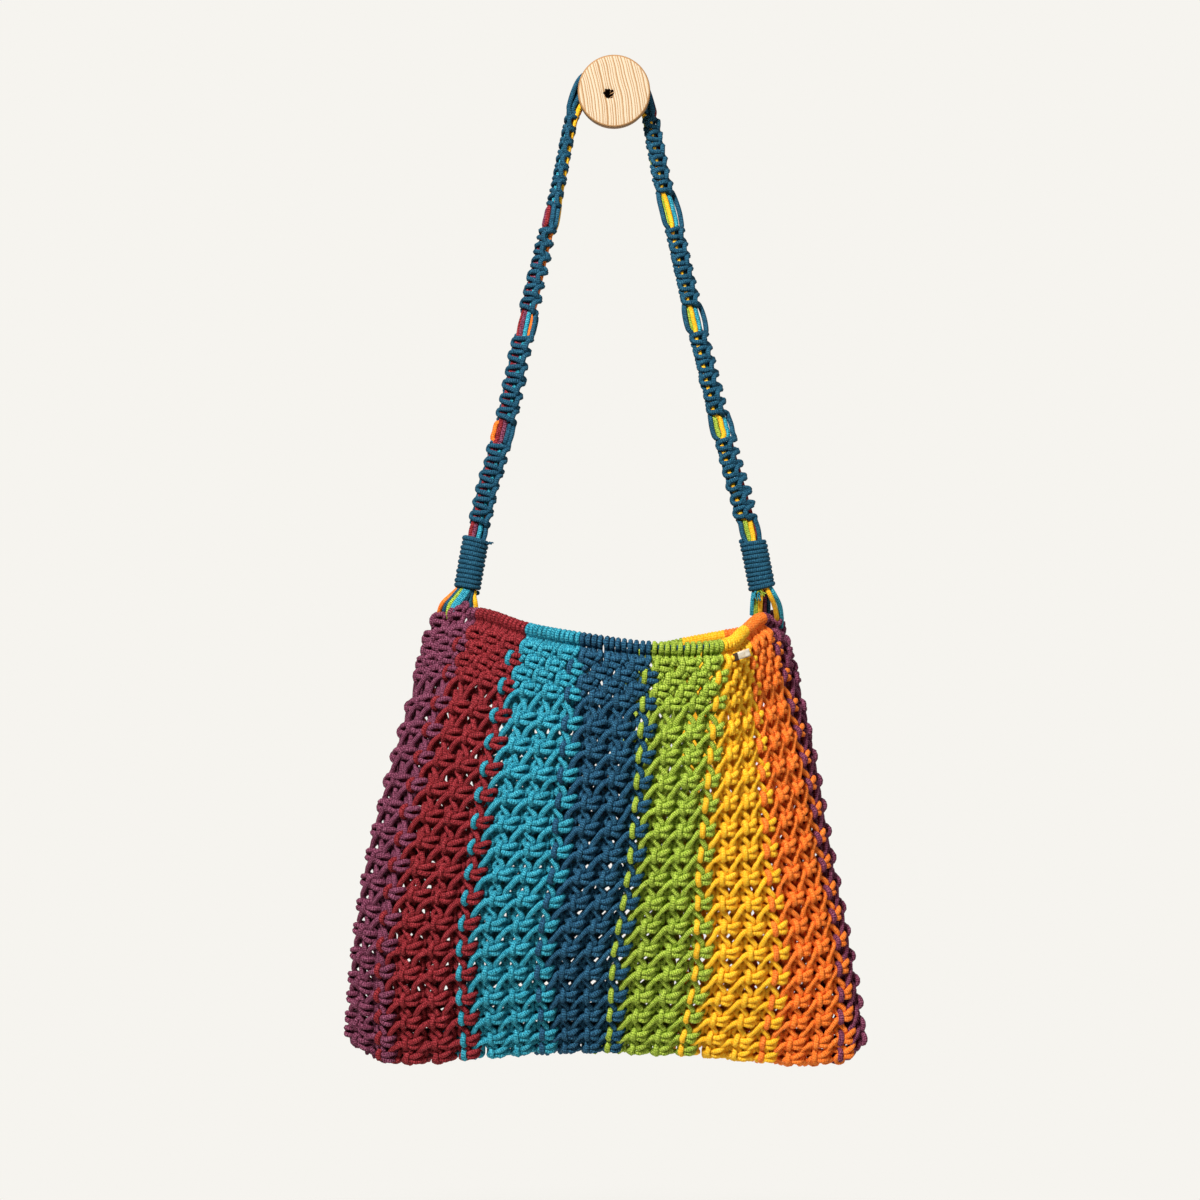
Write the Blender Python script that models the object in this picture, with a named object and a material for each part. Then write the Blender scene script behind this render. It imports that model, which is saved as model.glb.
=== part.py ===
"""Knotted tote bag of cotton cord, hung by its strap on a turned wooden wall knob.

Metres, +Z up, +X to the right of someone who faces the wall, -Y towards them. The origin is on
the axis of the knob's screw, in the plane of the wall. Every solid lies at -Y, and the word depth
stands for the distance from the wall.
"""
import math

import bmesh
import bpy
from mathutils import Vector

# The fit between pieces
GAP = 0.0003

# Wall knob
NECK_RADIUS = 0.016
DISC_RADIUS = 0.029
DISC_FRONT = 0.060
DISC_THICKNESS = 0.0095
KNOB_CENTRE = (0.004, 0.0024)
KNOB_EDGE = 0.0012
NECK_ROOT_EDGE = 0.0030
SCREW_HOLE_RADIUS = 0.0028
SCREW_HOLE_DEPTH = 0.010
KNOB_SIDES = 44
SCREW_HOLE_SIDES = 16
SMOOTH_ANGLE = math.radians(35)

# Net body: one knot column is four cords wide, and a band of colour is three columns
COLUMNS = 42
BAND_COLUMNS = 3
BAND_COLOURS = ("crimson", "turquoise", "petrol", "lime", "yellow", "orange", "plum",
                "orange", "yellow", "lime", "petrol", "turquoise", "crimson", "plum")
LEFT_FOLD = 40
RIGHT_FOLD = 19

# Lines that run down the net: where its rim, its middle and its foot lie
# column, rim x, rim depth, rim z, middle x, middle depth, foot x, foot depth, foot z
NET_LINES = (
    (0.0, -0.1008, 0.091, -0.4103, -0.1590, 0.095, -0.1770, 0.052, -0.777),
    (3.0, -0.0613, 0.125, -0.4216, -0.1003, 0.118, -0.1090, 0.054, -0.773),
    (6.0, -0.0209, 0.152, -0.4284, -0.0365, 0.127, -0.0485, 0.054, -0.769),
    (9.0, 0.0322, 0.160, -0.4351, 0.0213, 0.129, 0.0035, 0.054, -0.768),
    (12.0, 0.0858, 0.150, -0.4338, 0.0739, 0.125, 0.0630, 0.054, -0.770),
    (15.0, 0.1042, 0.110, -0.4235, 0.1240, 0.106, 0.1270, 0.053, -0.778),
    (18.0, 0.1236, 0.066, -0.4139, 0.1665, 0.066, 0.1900, 0.050, -0.776),
    (19.0, 0.1345, 0.044, -0.4215, 0.1720, 0.046, 0.2000, 0.041, -0.764),
    (21.0, 0.1270, 0.024, -0.4220, 0.1600, 0.021, 0.1600, 0.030, -0.779),
    (24.0, 0.0740, 0.013, -0.4320, 0.1040, 0.013, 0.1020, 0.029, -0.775),
    (27.0, 0.0280, 0.012, -0.4420, 0.0470, 0.012, 0.0440, 0.029, -0.770),
    (30.0, -0.0160, 0.012, -0.4455, -0.0100, 0.012, -0.0140, 0.029, -0.769),
    (33.0, -0.0600, 0.013, -0.4430, -0.0670, 0.013, -0.0720, 0.029, -0.771),
    (36.0, -0.1030, 0.022, -0.4330, -0.1240, 0.017, -0.1300, 0.030, -0.775),
    (39.0, -0.1360, 0.052, -0.4190, -0.1720, 0.046, -0.1880, 0.032, -0.774),
    (40.0, -0.1300, 0.071, -0.4150, -0.1810, 0.070, -0.2090, 0.042, -0.759),
)

# Hills and hollows pressed into the hanging net, and how far apart its slope is taken
RIPPLE = 0.0014
RIPPLE_AROUND = 5
RIPPLE_DOWN = 2.5
SLOPE_STEP = 0.02

# Rim of windings: half its thickness at each step down, measured from its top edge
RIM_HEIGHT = 0.0110
RIM_HALF = 0.0053
RIM_STEPS = 4
RIM_RIDGE = 0.0008

# Dense rows under the rim, then the open net
DENSE_HALF = 0.0058
DENSE_TOP = 0.045
DENSE_FOOT = 0.140
NET_TOP = 0.176
NET_FOOT = 0.975
MESH_ROWS = 15
CORD_HALF_OUT = 0.0058
CORD_HALF_IN = 0.0050
GAP_HALF_OUT = 0.0026
GAP_HALF_IN = 0.0020
GAP_SHARE = 0.47

# Seam of small loops
SEAM_HALF = 0.0052
SEAM_DROP = 0.0058
SEAM_BUMP = 0.0016

# Cords of the strap
CORD_RADIUS = 0.00215
CORD_SIDES = 6
STRAP_HALF_WIDTH = 0.0096
STRAP_HALF_THICKNESS = 0.0056
STRAP_SIDES = 8
KNOTS_IN_A_LENGTH = 5
KNOT_RELIEF = 0.0014
KNOT_SHAPE = ((0.04, -1.0), (0.32, 0.5), (0.74, 0.5))
CORE_RADIUS = 0.0080
CORE_SIDES = 12
CORD_BITE = 0.0050
CORD_SPREAD = 0.0052
ROUND_PLACE = 0.00265
CORD_STEPS = 3
CORD_BOW = 0.12
NECK_CORD_HALF = 0.0044
NECK_STEPS = 10

# How far apart the direction of a cord or of the strap is taken
ROUTE_STEP = 0.002

# Strap centreline, from the left corner over the knob to the right corner
# x, depth, z, turn of its width away from the plane of the wall in degrees
STRAP_ROUTE = (
    (-0.1142, 0.0710, -0.4005, 0),
    (-0.1130, 0.0700, -0.3960, 0),
    (-0.1057, 0.0680, -0.3554, 0),
    (-0.0960, 0.0650, -0.3140, 0),
    (-0.0814, 0.0600, -0.2580, 5),
    (-0.0684, 0.0540, -0.1945, 20),
    (-0.0577, 0.0480, -0.1456, 50),
    (-0.0424, 0.0400, -0.0758, 80),
    (-0.0318, 0.0325, -0.0135, 90),
    (-0.0290, 0.0315, 0.0010, 90),
    (-0.0232, 0.0310, 0.0125, 90),
    (-0.0125, 0.0305, 0.0207, 90),
    (0.0030, 0.0300, 0.0233, 90),
    (0.0175, 0.0305, 0.0200, 90),
    (0.0265, 0.0310, 0.0110, 90),
    (0.0310, 0.0315, 0.0000, 90),
    (0.0345, 0.0325, -0.0215, 90),
    (0.0435, 0.0380, -0.0689, 85),
    (0.0495, 0.0405, -0.0900, 75),
    (0.0577, 0.0460, -0.1300, 60),
    (0.0690, 0.0525, -0.1800, 30),
    (0.0777, 0.0570, -0.2180, 10),
    (0.0920, 0.0620, -0.2750, 0),
    (0.1136, 0.0700, -0.3555, 0),
    (0.1216, 0.0690, -0.3945, 0),
    (0.1228, 0.0688, -0.3990, 0),
)

# Heights between which the strap is knotted, and those of the two wraps
# low z, high z
LEFT_LENGTHS = ((-0.3443, -0.2804), (-0.2620, -0.1936), (-0.1740, -0.1057), (-0.0880, -0.0136))
RIGHT_LENGTHS = ((-0.0768, -0.0144), (-0.1692, -0.1057), (-0.2573, -0.1904), (-0.3400, -0.2760))
LEFT_WRAP = (-0.3960, -0.3547)
RIGHT_WRAP = (-0.3945, -0.3555)
WRAP_TURNS = 10
WRAP_RADIUS = 0.0104
WRAP_GROOVE = 0.0009

# Free cords below each wrap, which grip the net's corner between them
# columns from the corner, place along the rim, place away from the bag, outside or inside the rim
FAN_CORDS = (
    (0.8, 0.0047, 0.0023, 1),
    (0.0, 0.0000, 0.0026, 1),
    (-0.8, -0.0047, 0.0023, 1),
    (0.4, 0.0024, -0.0026, -1),
    (-0.4, -0.0024, -0.0026, -1),
)
LEFT_CORNER = 40.9
RIGHT_CORNER = 18.6
FAN_REACH = 0.0065
FAN_DROP = 0.0035
FAN_RISE = 0.0032
FAN_STEPS = 7

# Tag on the yellow band: where its left end lies, how far it turns and how far its end rises
TAG_WIDTH = 0.0142
TAG_HEIGHT = 0.0058
TAG_THICKNESS = 0.0012
TAG_COLUMN = 12.45
TAG_DOWN = 0.046
TAG_STAND = 0.0004
TAG_TURN = math.radians(25)
TAG_TILT = math.radians(22)

CORD_ROUGHNESS = 0.85
PINE_ROUGHNESS = 0.55
TAG_ROUGHNESS = 0.7
COLOURS = {
    "plum": (0.195, 0.037, 0.117),
    "crimson": (0.366, 0.018, 0.026),
    "turquoise": (0.014, 0.376, 0.527),
    "petrol": (0.014, 0.093, 0.191),
    "lime": (0.274, 0.509, 0.048),
    "yellow": (0.965, 0.434, 0.024),
    "orange": (0.913, 0.174, 0.027),
    "teal": (0.015, 0.115, 0.202),
    "pine": (0.815, 0.597, 0.366),
    "tag": (0.855, 0.768, 0.610),
}


def material(name, roughness=CORD_ROUGHNESS):
    """A plain finish in the colour of one cord or piece, made once."""
    if name in bpy.data.materials:
        return bpy.data.materials[name]
    finish = bpy.data.materials.new(name)
    finish.use_nodes = True
    shader = finish.node_tree.nodes["Principled BSDF"]
    shader.inputs["Base Color"].default_value = (*COLOURS[name], 1.0)
    shader.inputs["Roughness"].default_value = roughness
    shader.inputs["Metallic"].default_value = 0.0
    return finish


def add_object(name, mesh, materials, smooth_angle=None):
    """Put a mesh in the scene under its node's name, with its finishes."""
    for finish in materials:
        mesh.materials.append(finish)
    if smooth_angle is not None:
        mesh.shade_smooth()
        mesh.set_sharp_from_angle(angle=smooth_angle)
    piece = bpy.data.objects.new(name, mesh)
    bpy.context.scene.collection.objects.link(piece)
    return piece


def mesh_from(name, points, faces, face_materials=None):
    """A mesh whose faces all point out."""
    body = bmesh.new()
    verts = [body.verts.new(point) for point in points]
    for index, face in enumerate(faces):
        made = body.faces.new([verts[i] for i in face])
        if face_materials:
            made.material_index = face_materials[index]
    bmesh.ops.recalc_face_normals(body, faces=body.faces)
    mesh = bpy.data.meshes.new(name)
    body.to_mesh(mesh)
    body.free()
    return mesh


def combine(target, other, operation):
    """Join or cut one object with another, which then stays only as a hidden guide."""
    change = target.modifiers.new(operation.lower(), "BOOLEAN")
    change.operation = operation
    change.solver = "EXACT"
    change.object = other
    other.hide_render = True
    other.display_type = "WIRE"


def smooth_value(stations, values, place, period=None):
    """Value at a place on a smooth curve through (station, value) pairs, closed if it has a period."""
    count = len(stations)
    if period:
        place = place % period
        if place < stations[0]:
            place += period

    def station(i):
        if period:
            return stations[i % count] + period * (i // count)
        return stations[max(0, min(count - 1, i))]

    def value(i):
        if period:
            return values[i % count]
        return values[max(0, min(count - 1, i))]

    i = count - 1
    while i > 0 and stations[i] > place:
        i -= 1
    if not period:
        i = min(i, count - 2)
    span = station(i + 1) - station(i)
    share = (place - station(i)) / span

    def slope(j):
        reach = station(j + 1) - station(j - 1)
        return (value(j + 1) - value(j - 1)) * (span / reach) if reach else value(j) * 0

    s2 = share * share
    s3 = s2 * share
    return (value(i) * (2 * s3 - 3 * s2 + 1) + slope(i) * (s3 - 2 * s2 + share)
            + value(i + 1) * (3 * s2 - 2 * s3) + slope(i + 1) * (s3 - s2))


# The hanging surface of the net

LINE_COLUMNS = [row[0] for row in NET_LINES]
RIM_POINTS = [Vector((row[1], -row[2], row[3])) for row in NET_LINES]
FOOT_POINTS = [Vector((row[6], -row[7], row[8])) for row in NET_LINES]
MIDDLE_POINTS = [Vector((row[4], -row[5], (row[3] + row[8]) / 2)) for row in NET_LINES]


def net_surface(column, down):
    """Point half way through the net's wall: down is 0 at the rim's top edge and 1 at the foot."""
    rim = smooth_value(LINE_COLUMNS, RIM_POINTS, column, COLUMNS)
    middle = smooth_value(LINE_COLUMNS, MIDDLE_POINTS, column, COLUMNS)
    foot = smooth_value(LINE_COLUMNS, FOOT_POINTS, column, COLUMNS)
    return (rim * (2 * (down - 0.5) * (down - 1)) + middle * (4 * down * (1 - down))
            + foot * (2 * down * (down - 0.5)))


def net_frame(column, down):
    """The surface's point, its outward direction, and its downward direction."""
    step = SLOPE_STEP
    across = net_surface(column + step, down) - net_surface(column - step, down)
    along = net_surface(column, down + step) - net_surface(column, down - step)
    out = along.cross(across).normalized()
    swell = RIPPLE * math.sin(2 * math.pi * RIPPLE_AROUND * column / COLUMNS)
    swell *= math.sin(math.pi * RIPPLE_DOWN * max(0.0, min(1.0, down)))
    return net_surface(column, down) + out * swell, out, along.normalized()


def net_point(column, down, lift, drop=0.0):
    """A point at a height above the surface, moved down the net by a drop."""
    point, out, along = net_frame(column, down)
    return point + out * lift + along * drop


def band_index(column):
    """Which of the fourteen bands a column lies in."""
    return int((column % COLUMNS) // BAND_COLUMNS)


# Net body

class NetBuilder:
    """Collects the points and faces of the net's one closed body."""

    def __init__(self):
        self.points = []
        self.faces = []
        self.colours = []

    def add(self, point):
        self.points.append(point)
        return len(self.points) - 1

    def face(self, corners, column):
        self.faces.append(corners)
        self.colours.append(band_index(column))

    def stitch(self, upper, lower):
        """Fill between two closed rings, each a list of (column, point index) round the net."""
        i = j = 0
        while i < len(upper) or j < len(lower):
            next_upper = upper[(i + 1) % len(upper)][0] + COLUMNS * ((i + 1) // len(upper))
            next_lower = lower[(j + 1) % len(lower)][0] + COLUMNS * ((j + 1) // len(lower))
            here = upper[i % len(upper)]
            there = lower[j % len(lower)]
            column = here[0]
            if i < len(upper) and j < len(lower) and abs(next_upper - next_lower) < 1e-6:
                self.face((here[1], upper[(i + 1) % len(upper)][1],
                           lower[(j + 1) % len(lower)][1], there[1]), column)
                i += 1
                j += 1
            elif j >= len(lower) or (i < len(upper) and next_upper < next_lower):
                self.face((here[1], upper[(i + 1) % len(upper)][1], there[1]), column)
                i += 1
            else:
                self.face((here[1], lower[(j + 1) % len(lower)][1], there[1]), column)
                j += 1


def rim_ring(net, step, side):
    """A ring round the rim's roll, half a knot column to a point, raised and sunk in turn."""
    angle = math.pi * step / RIM_STEPS
    drop = RIM_HEIGHT / 2 * (1 - math.cos(angle))
    ring = []
    for index in range(2 * COLUMNS):
        column = index / 2
        lift = RIM_HALF * math.sin(angle) + (RIM_RIDGE if index % 2 else -RIM_RIDGE)
        ring.append((column, net.add(net_point(column, 0.0, side * lift, drop))))
    return ring


def rim_crest(net):
    """The top edge of the rim, shared by its outer and inner sides."""
    ring = []
    for index in range(2 * COLUMNS):
        column = index / 2
        drop = 0.0 if index % 2 else RIM_RIDGE
        ring.append((column, net.add(net_point(column, 0.0, 0.0, drop))))
    return ring


def plain_ring(net, down, lift):
    """A ring with one point to each knot column."""
    return [(float(i), net.add(net_point(i, down, lift))) for i in range(COLUMNS)]


def mesh_rows():
    """How far down the net each row of crossings lies."""
    return [NET_TOP + (NET_FOOT - NET_TOP) * row / MESH_ROWS for row in range(MESH_ROWS + 1)]


def open_mesh(net, top_ring, side, half, gap_half):
    """Diagonal cords from the top ring down, with an open diamond between each four crossings."""
    rows = mesh_rows()
    nodes = {(int(column), 0): index for column, index in top_ring}
    for row in range(1, MESH_ROWS + 1):
        for i in range(COLUMNS):
            if (i + row) % 2 == 0 or row == MESH_ROWS:
                nodes[(i, row)] = net.add(net_point(i, rows[row], side * half))
    for i in range(1, COLUMNS, 2):
        left, right = nodes[(i - 1, 0)], nodes[((i + 1) % COLUMNS, 0)]
        net.face((left, nodes[(i, 0)], nodes[(i, 1)]), i)
        net.face((nodes[(i, 0)], right, nodes[(i, 1)]), i)
    for i in range(MESH_ROWS % 2 + 1, COLUMNS + 1, 2):
        here, above = nodes[(i % COLUMNS, MESH_ROWS)], nodes[(i % COLUMNS, MESH_ROWS - 1)]
        net.face((nodes[((i - 1) % COLUMNS, MESH_ROWS)], here, above), i)
        net.face((here, nodes[((i + 1) % COLUMNS, MESH_ROWS)], above), i)
    gaps = {}
    for row in range(1, MESH_ROWS):
        for i in range(COLUMNS):
            if (i + row) % 2 == 0:
                continue
            above, below = rows[row - 1], rows[row + 1]
            here = rows[row]
            corners = (nodes[(i, row - 1)], nodes[((i + 1) % COLUMNS, row)],
                       nodes[(i, row + 1)], nodes[((i - 1) % COLUMNS, row)])
            places = ((i, here + (above - here) * GAP_SHARE), (i + GAP_SHARE, here),
                      (i, here + (below - here) * GAP_SHARE), (i - GAP_SHARE, here))
            edge = [net.add(net_point(c, d, side * gap_half)) for c, d in places]
            gaps[(i, row)] = edge
            for k in range(4):
                after = (k + 1) % 4
                net.face((corners[k], corners[after], edge[after], edge[k]), i)
    foot_ring = [(float(i), nodes[(i, MESH_ROWS)]) for i in range(COLUMNS)]
    return foot_ring, gaps


def seam_pairs():
    """The front and the back column that meet at each place along the seam, from the left."""
    half = COLUMNS // 2
    return [((LEFT_FOLD + k) % COLUMNS, LEFT_FOLD - k) for k in range(half + 1)]


def close_inside(net, foot_ring):
    """The floor of the bag's inside."""
    pairs = seam_pairs()
    index = {int(column): point for column, point in foot_ring}
    for (front, back), (next_front, next_back) in zip(pairs, pairs[1:]):
        loop = [index[front], index[next_front], index[next_back], index[back]]
        corners = [point for k, point in enumerate(loop) if point not in loop[:k]]
        net.face(corners, front)


def close_outside(net, foot_ring):
    """The seam of loops under the bag, which joins front and back."""
    pairs = seam_pairs()
    index = {int(column): point for column, point in foot_ring}
    seam = []
    for k, (front, back) in enumerate(pairs):
        middle = (net_surface(front, 1.0) + net_surface(back, 1.0)) / 2
        drop = SEAM_DROP + (SEAM_BUMP if k % 2 else -SEAM_BUMP)
        seam.append(net.add(middle - Vector((0, 0, drop))))
    for k in range(len(pairs) - 1):
        front, back = pairs[k]
        next_front, next_back = pairs[k + 1]
        net.face((index[front], index[next_front], seam[k + 1], seam[k]), front)
        net.face((index[back], index[next_back], seam[k + 1], seam[k]), next_back)


def build_net():
    """The whole net from rim to seam, as one hollow body with its open diamonds cut through."""
    net = NetBuilder()
    crest = rim_crest(net)
    sides = []
    for side, half, gap_half in ((1, CORD_HALF_OUT, GAP_HALF_OUT), (-1, CORD_HALF_IN, GAP_HALF_IN)):
        ring = crest
        for step in range(1, RIM_STEPS):
            below = rim_ring(net, step, side)
            net.stitch(ring, below)
            ring = below
        for down, lift in ((DENSE_TOP, DENSE_HALF), (DENSE_FOOT, DENSE_HALF), (NET_TOP, half)):
            below = plain_ring(net, down, side * lift)
            net.stitch(ring, below)
            ring = below
        foot_ring, gaps = open_mesh(net, ring, side, half, gap_half)
        sides.append((foot_ring, gaps))
    (outer_foot, outer_gaps), (inner_foot, inner_gaps) = sides
    for (i, row), edge in outer_gaps.items():
        inside = inner_gaps[(i, row)]
        for k in range(4):
            after = (k + 1) % 4
            net.face((edge[k], edge[after], inside[after], inside[k]), i)
    last = plain_ring(net, 1.0, SEAM_HALF)
    net.stitch(outer_foot, last)
    close_outside(net, last)
    close_inside(net, inner_foot)
    mesh = mesh_from("bag_net", net.points, net.faces, net.colours)
    return add_object("bag_net", mesh, [material(name) for name in BAND_COLOURS])


# Strap

def route_length_table():
    """Distance along the strap's route at each of its points."""
    lengths = [0.0]
    for before, after in zip(STRAP_ROUTE, STRAP_ROUTE[1:]):
        lengths.append(lengths[-1] + (Vector(after[:3]) - Vector(before[:3])).length)
    return lengths


ROUTE_LENGTHS = route_length_table()
ROUTE_POINTS = [Vector((x, -depth, z)) for x, depth, z, turn in STRAP_ROUTE]
ROUTE_TURNS = [float(turn) for x, depth, z, turn in STRAP_ROUTE]


def strap_point(along):
    """Point on the strap's centreline at a distance from its left end."""
    return smooth_value(ROUTE_LENGTHS, ROUTE_POINTS, along)


def strap_frame(along):
    """Centreline point, direction, and the directions of the strap's width and thickness."""
    start = max(0.0, along - ROUTE_STEP)
    end = min(ROUTE_LENGTHS[-1], along + ROUTE_STEP)
    forward = (strap_point(end) - strap_point(start)).normalized()
    outward = forward.cross(Vector((0, 1, 0))).normalized()
    to_front = forward.cross(outward)
    turn = math.radians(smooth_value(ROUTE_LENGTHS, ROUTE_TURNS, along))
    width = outward * math.cos(turn) + to_front * math.sin(turn)
    return strap_point(along), forward, width, width.cross(forward)


def along_at_height(z, on_left):
    """Distance along the strap at which it passes a height, on its left or right side."""
    low, high = (0.0, ROUTE_LENGTHS[-1] / 2) if on_left else (ROUTE_LENGTHS[-1], ROUTE_LENGTHS[-1] / 2)
    for _ in range(40):
        middle = (low + high) / 2
        if strap_point(middle).z < z:
            low = middle
        else:
            high = middle
    return (low + high) / 2


def ring_mesh(rings):
    """Points and faces of a closed tube through rings of equal size, with flat ends."""
    sides = len(rings[0])
    points = [point for ring in rings for point in ring]
    faces = []
    for r in range(len(rings) - 1):
        for k in range(sides):
            after = (k + 1) % sides
            faces.append((r * sides + k, r * sides + after,
                          (r + 1) * sides + after, (r + 1) * sides + k))
    faces.append(tuple(range(sides)))
    faces.append(tuple((len(rings) - 1) * sides + k for k in range(sides)))
    return points, faces


def add_tube(store, rings):
    """Append a closed tube to a store of points and faces."""
    points, faces = ring_mesh(rings)
    start = len(store[0])
    store[0].extend(points)
    store[1].extend(tuple(start + i for i in face) for face in faces)


def flat_ring(along, half_width, half_thickness, sides):
    """An oval ring across the strap."""
    centre, forward, width, thick = strap_frame(along)
    ring = []
    for k in range(sides):
        angle = 2 * math.pi * (k + 0.5) / sides
        ring.append(centre + width * (half_width * math.cos(angle))
                    + thick * (half_thickness * math.sin(angle)))
    return ring


def knotted_length(store, start, end):
    """A knotted length of the strap: a flat body with a raised bar for each knot."""
    pitch = (end - start) / KNOTS_IN_A_LENGTH
    rings = []
    for knot in range(KNOTS_IN_A_LENGTH):
        for share, height in KNOT_SHAPE:
            relief = height * KNOT_RELIEF
            along = start + (knot + share) * pitch
            rings.append(flat_ring(along, STRAP_HALF_WIDTH + relief,
                                   STRAP_HALF_THICKNESS + relief, STRAP_SIDES))
    rings.append(flat_ring(end, STRAP_HALF_WIDTH - KNOT_RELIEF,
                           STRAP_HALF_THICKNESS - KNOT_RELIEF, STRAP_SIDES))
    add_tube(store, rings)


def cord_ring(centre, forward, side, half_side, half_rise):
    """A ring across one cord, wider or taller where it stands for stacked cords."""
    rise = side.cross(forward)
    return [centre + side * (half_side * math.cos(2 * math.pi * k / CORD_SIDES))
            + rise * (half_rise * math.sin(2 * math.pi * k / CORD_SIDES)) for k in range(CORD_SIDES)]


def free_cord(store, start, end, place_start, place_end, steps, bow=0.0, half_rise=CORD_RADIUS):
    """One cord that runs free along the strap, between its places across the strap at each end."""
    rings = []
    for step in range(steps + 1):
        share = step / steps
        along = start + (end - start) * share
        centre, forward, width, thick = strap_frame(along)
        ease = share * share * (3 - 2 * share)
        across = place_start[0] + (place_end[0] - place_start[0]) * ease
        above = place_start[1] + (place_end[1] - place_start[1]) * ease
        across *= 1 + bow * math.sin(math.pi * share)
        point = centre + width * across + thick * above
        rings.append(cord_ring(point, forward, width, CORD_RADIUS, half_rise))
    add_tube(store, rings)


FLAT_PLACES = tuple((CORD_SPREAD * (k - 1.5), 0.0) for k in range(4))
ROUND_PLACES = tuple((ROUND_PLACE * x, ROUND_PLACE * y) for x, y in ((-1, -1), (-1, 1), (1, 1), (1, -1)))


def fan_cord(store, along, direction, corner, row):
    """A free cord from the foot of a wrap down over the rim, outside or inside the net."""
    columns, along_rim, away, side = row
    centre, forward, width, thick = strap_frame(along)
    forward = forward * direction
    rim_way = net_surface(corner + 1, 0.0) - net_surface(corner - 1, 0.0)
    rim_way = Vector((rim_way.x, rim_way.y, 0.0)).normalized()
    away_way = rim_way.cross(Vector((0, 0, 1)))
    start = centre + rim_way * along_rim + away_way * away
    lift = side * (RIM_HALF + RIM_RIDGE + 2 * GAP + CORD_RADIUS)
    rim, out, down = net_frame(corner + columns, 0.0)
    over = rim + out * lift - down * FAN_RISE
    end = rim + out * lift + down * FAN_REACH
    route = [start - forward * CORD_BITE, start + forward * FAN_DROP, over, end]
    spans = [0.0]
    for before, after in zip(route, route[1:]):
        spans.append(spans[-1] + (after - before).length)
    rings = []
    for step in range(FAN_STEPS + 1):
        share = spans[-1] * step / FAN_STEPS
        point = smooth_value(spans, route, share)
        ahead = smooth_value(spans, route, min(spans[-1], share + ROUTE_STEP / 2))
        behind = smooth_value(spans, route, max(0.0, share - ROUTE_STEP / 2))
        heading = (ahead - behind).normalized()
        across = heading.cross(Vector((0, 1, 0))).normalized()
        rings.append(cord_ring(point, heading, across, CORD_RADIUS, CORD_RADIUS))
    add_tube(store, rings)


def strap_lengths():
    """Start and end of each knotted length, from the left corner to the right one."""
    left = [(along_at_height(low, True), along_at_height(high, True)) for low, high in LEFT_LENGTHS]
    right = [(along_at_height(high, False), along_at_height(low, False))
             for low, high in RIGHT_LENGTHS]
    return left + right


def build_strap():
    """The strap as one body: knotted lengths, free cords between them, and a fan at each end."""
    bodies = ([], [])
    cords = ([], [])
    lengths = strap_lengths()
    for start, end in lengths:
        knotted_length(bodies, start, end)
    left_core = (along_at_height(LEFT_WRAP[0], True), along_at_height(LEFT_WRAP[1], True) + 2 * GAP)
    right_core = (along_at_height(RIGHT_WRAP[1], False) - 2 * GAP,
                  along_at_height(RIGHT_WRAP[0], False))
    for start, end in (left_core, right_core):
        middle = (start + end) / 2
        add_tube(bodies, [flat_ring(at, CORE_RADIUS, CORE_RADIUS, CORE_SIDES)
                          for at in (start, middle, end)])
    middle_stretch = len(LEFT_LENGTHS) - 1
    for k, ((_, start), (end, _)) in enumerate(zip(lengths, lengths[1:])):
        over_neck = k == middle_stretch
        for place in FLAT_PLACES:
            free_cord(cords, start - CORD_BITE, end + CORD_BITE, place, place,
                      NECK_STEPS if over_neck else CORD_STEPS, 0.0 if over_neck else CORD_BOW,
                      NECK_CORD_HALF if over_neck else CORD_RADIUS)
    for flat, round_place in zip(FLAT_PLACES, ROUND_PLACES):
        free_cord(cords, left_core[1] - CORD_BITE, lengths[0][0] + CORD_BITE,
                  round_place, flat, CORD_STEPS)
        free_cord(cords, lengths[-1][1] - CORD_BITE, right_core[0] + CORD_BITE,
                  flat, round_place, CORD_STEPS)
    for row in FAN_CORDS:
        fan_cord(cords, left_core[0], -1, LEFT_CORNER, row)
        fan_cord(cords, right_core[1], 1, RIGHT_CORNER, row)
    strap = add_object("strap", mesh_from("strap", *bodies), [material("teal")])
    free = add_object("strap_cords", mesh_from("strap_cords", *cords), [material("teal")])
    combine(strap, free, "UNION")
    return strap


# Gathering wraps

def build_wrap(name, heights, on_left):
    """A close winding round the strap's cords: a sleeve with a raised ring for each turn."""
    ends = sorted((along_at_height(heights[0], on_left), along_at_height(heights[1], on_left)))
    rings = []
    turn = (ends[1] - ends[0]) / WRAP_TURNS
    for index in range(WRAP_TURNS):
        for share, radius in ((0.0, WRAP_RADIUS - WRAP_GROOVE), (0.5, WRAP_RADIUS)):
            along = ends[0] + (index + share) * turn
            rings.append(flat_ring(along, radius, radius, CORE_SIDES))
    rings.append(flat_ring(ends[1], WRAP_RADIUS - WRAP_GROOVE, WRAP_RADIUS - WRAP_GROOVE, CORE_SIDES))
    bore = CORE_RADIUS + GAP
    for along in (ends[1], (ends[0] + ends[1]) / 2, ends[0]):
        rings.append(flat_ring(along, bore, bore, CORE_SIDES))
    points = [point for ring in rings for point in ring]
    faces = []
    for r in range(len(rings)):
        below = (r + 1) % len(rings)
        for k in range(CORE_SIDES):
            after = (k + 1) % CORE_SIDES
            faces.append((r * CORE_SIDES + k, r * CORE_SIDES + after,
                          below * CORE_SIDES + after, below * CORE_SIDES + k))
    return add_object(name, mesh_from(name, points, faces), [material("teal")])


# Wall knob

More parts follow.
